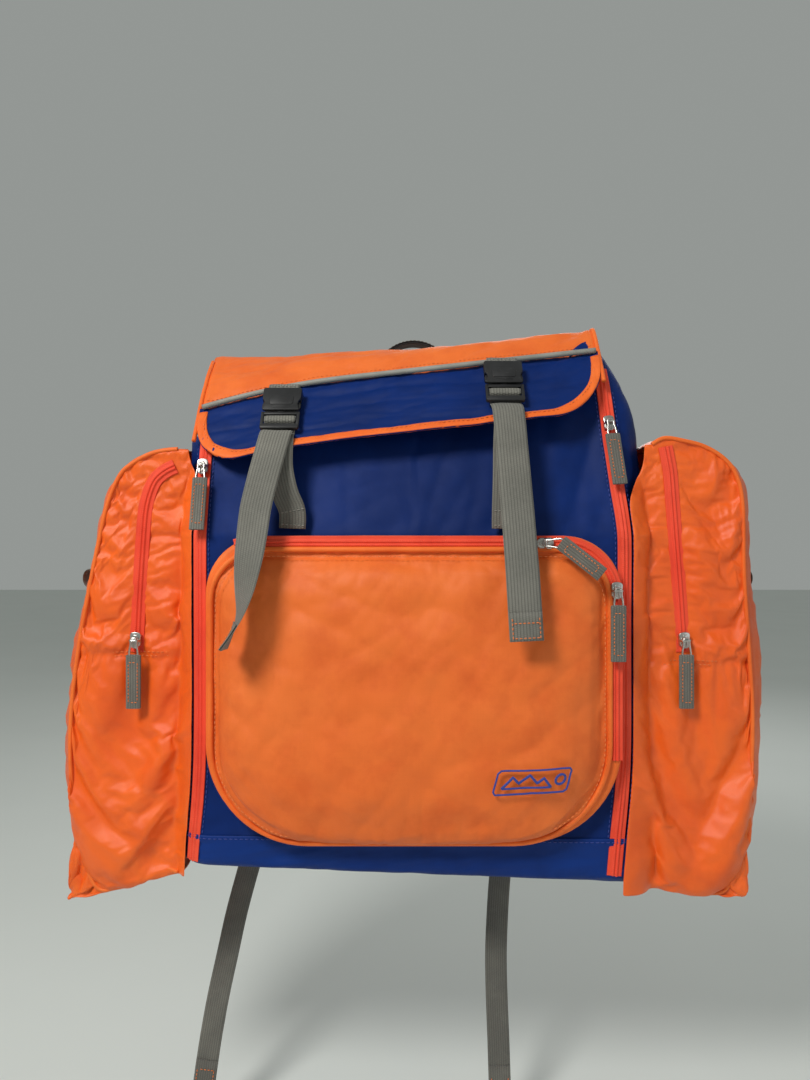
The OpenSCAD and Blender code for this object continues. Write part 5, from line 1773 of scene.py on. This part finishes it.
# Ladder locks
LOCK_X, LOCK_Z, LOCK_Y = 115, -328, STRAP_Y + STRAP_T / 2
for side in (LEFT, RIGHT):
    lock = Mesh(Matrix.Translation((side * LOCK_X, LOCK_Y, LOCK_Z)))
    for s in (-1, 1):
        lock.prism([(s * 12.5 - 1.5, -25), (s * 12.5 - 0.9, -26), (s * 12.5 + 0.9, -26), (s * 12.5 + 1.5, -25),
                    (s * 12.5 + 1.5, -1), (s * 12.5 + 0.9, 0), (s * 12.5 - 0.9, 0), (s * 12.5 - 1.5, -1)], -3, 3)
    lock.box((-11.4, -3, -4), (11.4, 3, 0))
    lock.box((-11.4, -1.2, -15), (11.4, 1.2, -11))
    lock.box((-11.4, -0.6, -26), (11.4, 3, -21.5))
    for x in (-7.5, -4.5, -1.5, 1.5, 4.5, 7.5):
        lock.box((x - 0.45, 0.8, -14.8), (x + 0.45, 1.6, -11.2))
    lock.done(hand(side) + "_ladder_lock_body", "plastic", "bag", (hand(side) + "_ladder_lock",), bevel=0.7)

# Webbing from the base corners up to the locks
lower = Mesh()
for side in (LEFT, RIGHT):
    route = [[side * 148, BAG_BACK + 1, -436], [side * 144, BAG_BACK + 3, -418], [side * 128, LOCK_Y - 4, -380],
             [side * 117, LOCK_Y - 3.6, -356], [side * 115, LOCK_Y - 2.8, -342]]
    frames = web_frames(route, [0] * 5, 8)
    web(lower, frames, WEB_W - 2, WEB_T)
    for k in (2, 6):
        p, s, o = frames[k]
        lower.stitches([p + s * 7.5 - o * 1.0, p - s * 7.5 - o * 1.0], [-o, -o], 2.2, 1.0, 0.4, 1)
lower.done("lower_webbing", ["web_dark", "thread_grey"], "bag", ("lower_webs",))

# Quilted back pads under spacer mesh
PAD_X, PAD_Z, PAD_W, PAD_H, PAD_T = 78, -262, 120, 300, 6
pads = Mesh()
for side in (LEFT, RIGHT):
    rows = []
    for j in range(111):
        v = -1 + 2 * j / 110
        row = []
        for i in range(61):
            u = -1 + 2 * i / 60
            corner = 1 - 0.06 * (abs(u * v)) ** 4
            x, z = side * PAD_X + u * PAD_W / 2 * corner, PAD_Z + v * PAD_H / 2 * (1 - 0.03 * abs(u) ** 4 * abs(v) ** 3)
            e = min((1 - abs(u)) * PAD_W / 2, (1 - abs(v)) * PAD_H / 2)
            swell = PAD_T * clamp(e / 10) ** 0.5
            for groove in (-75, 0, 75):
                swell -= 3.6 * math.exp(-(((z - PAD_Z) - groove) / 4.2) ** 2)
            swell -= 0.8 * (0.5 + 0.5 * ripple(x / 16, z / 16, 7.0))
            row.append((x, BAG_BACK + 0.4 + max(0.1, swell - 0.4), z))
        rows.append(row)
    P = np.array(rows)
    pads.grid(P, flip=facing(P, (side * PAD_X, -200, PAD_Z))[1])
pad_piece = pads.done("back_pads_mesh", "mesh", "bag", ("back_pads",), thick=1.5)
for side in (LEFT, RIGHT):
    ring = []
    for a in np.linspace(0, 2 * pi, 160, endpoint=False):
        c, s = cos(a), sin(a)
        ring.append((side * PAD_X + math.copysign(abs(c) ** 0.28, c) * PAD_W / 2 * 0.985, BAG_BACK + 1.0,
                     PAD_Z + math.copysign(abs(s) ** 0.16, s) * PAD_H / 2 * 0.99))
    Mesh().tube(ring, 1.8, 8, closed=True).done(hand(side) + "_pad_binding", "binding", "bag")

# ---------------------------------------------------------------- floor

plane = bpy.data.meshes.new("floor")
plane.from_pydata([(-8, -8, -0.72), (8, -8, -0.72), (8, 8, -0.72), (-8, 8, -0.72)], [], [(0, 1, 2, 3)])
floor = bpy.data.objects.new("floor", plane)
bpy.context.scene.collection.objects.link(floor)
n = Nodes("floor_paint")
patch = n.noise(n.space(), 3.0, 3.0)
n.finish(n.mix(patch, (0.66, 0.69, 0.66, 1), (0.71, 0.74, 0.71, 1)), 0.85)
plane.materials.append(n.mat)

settle(24)
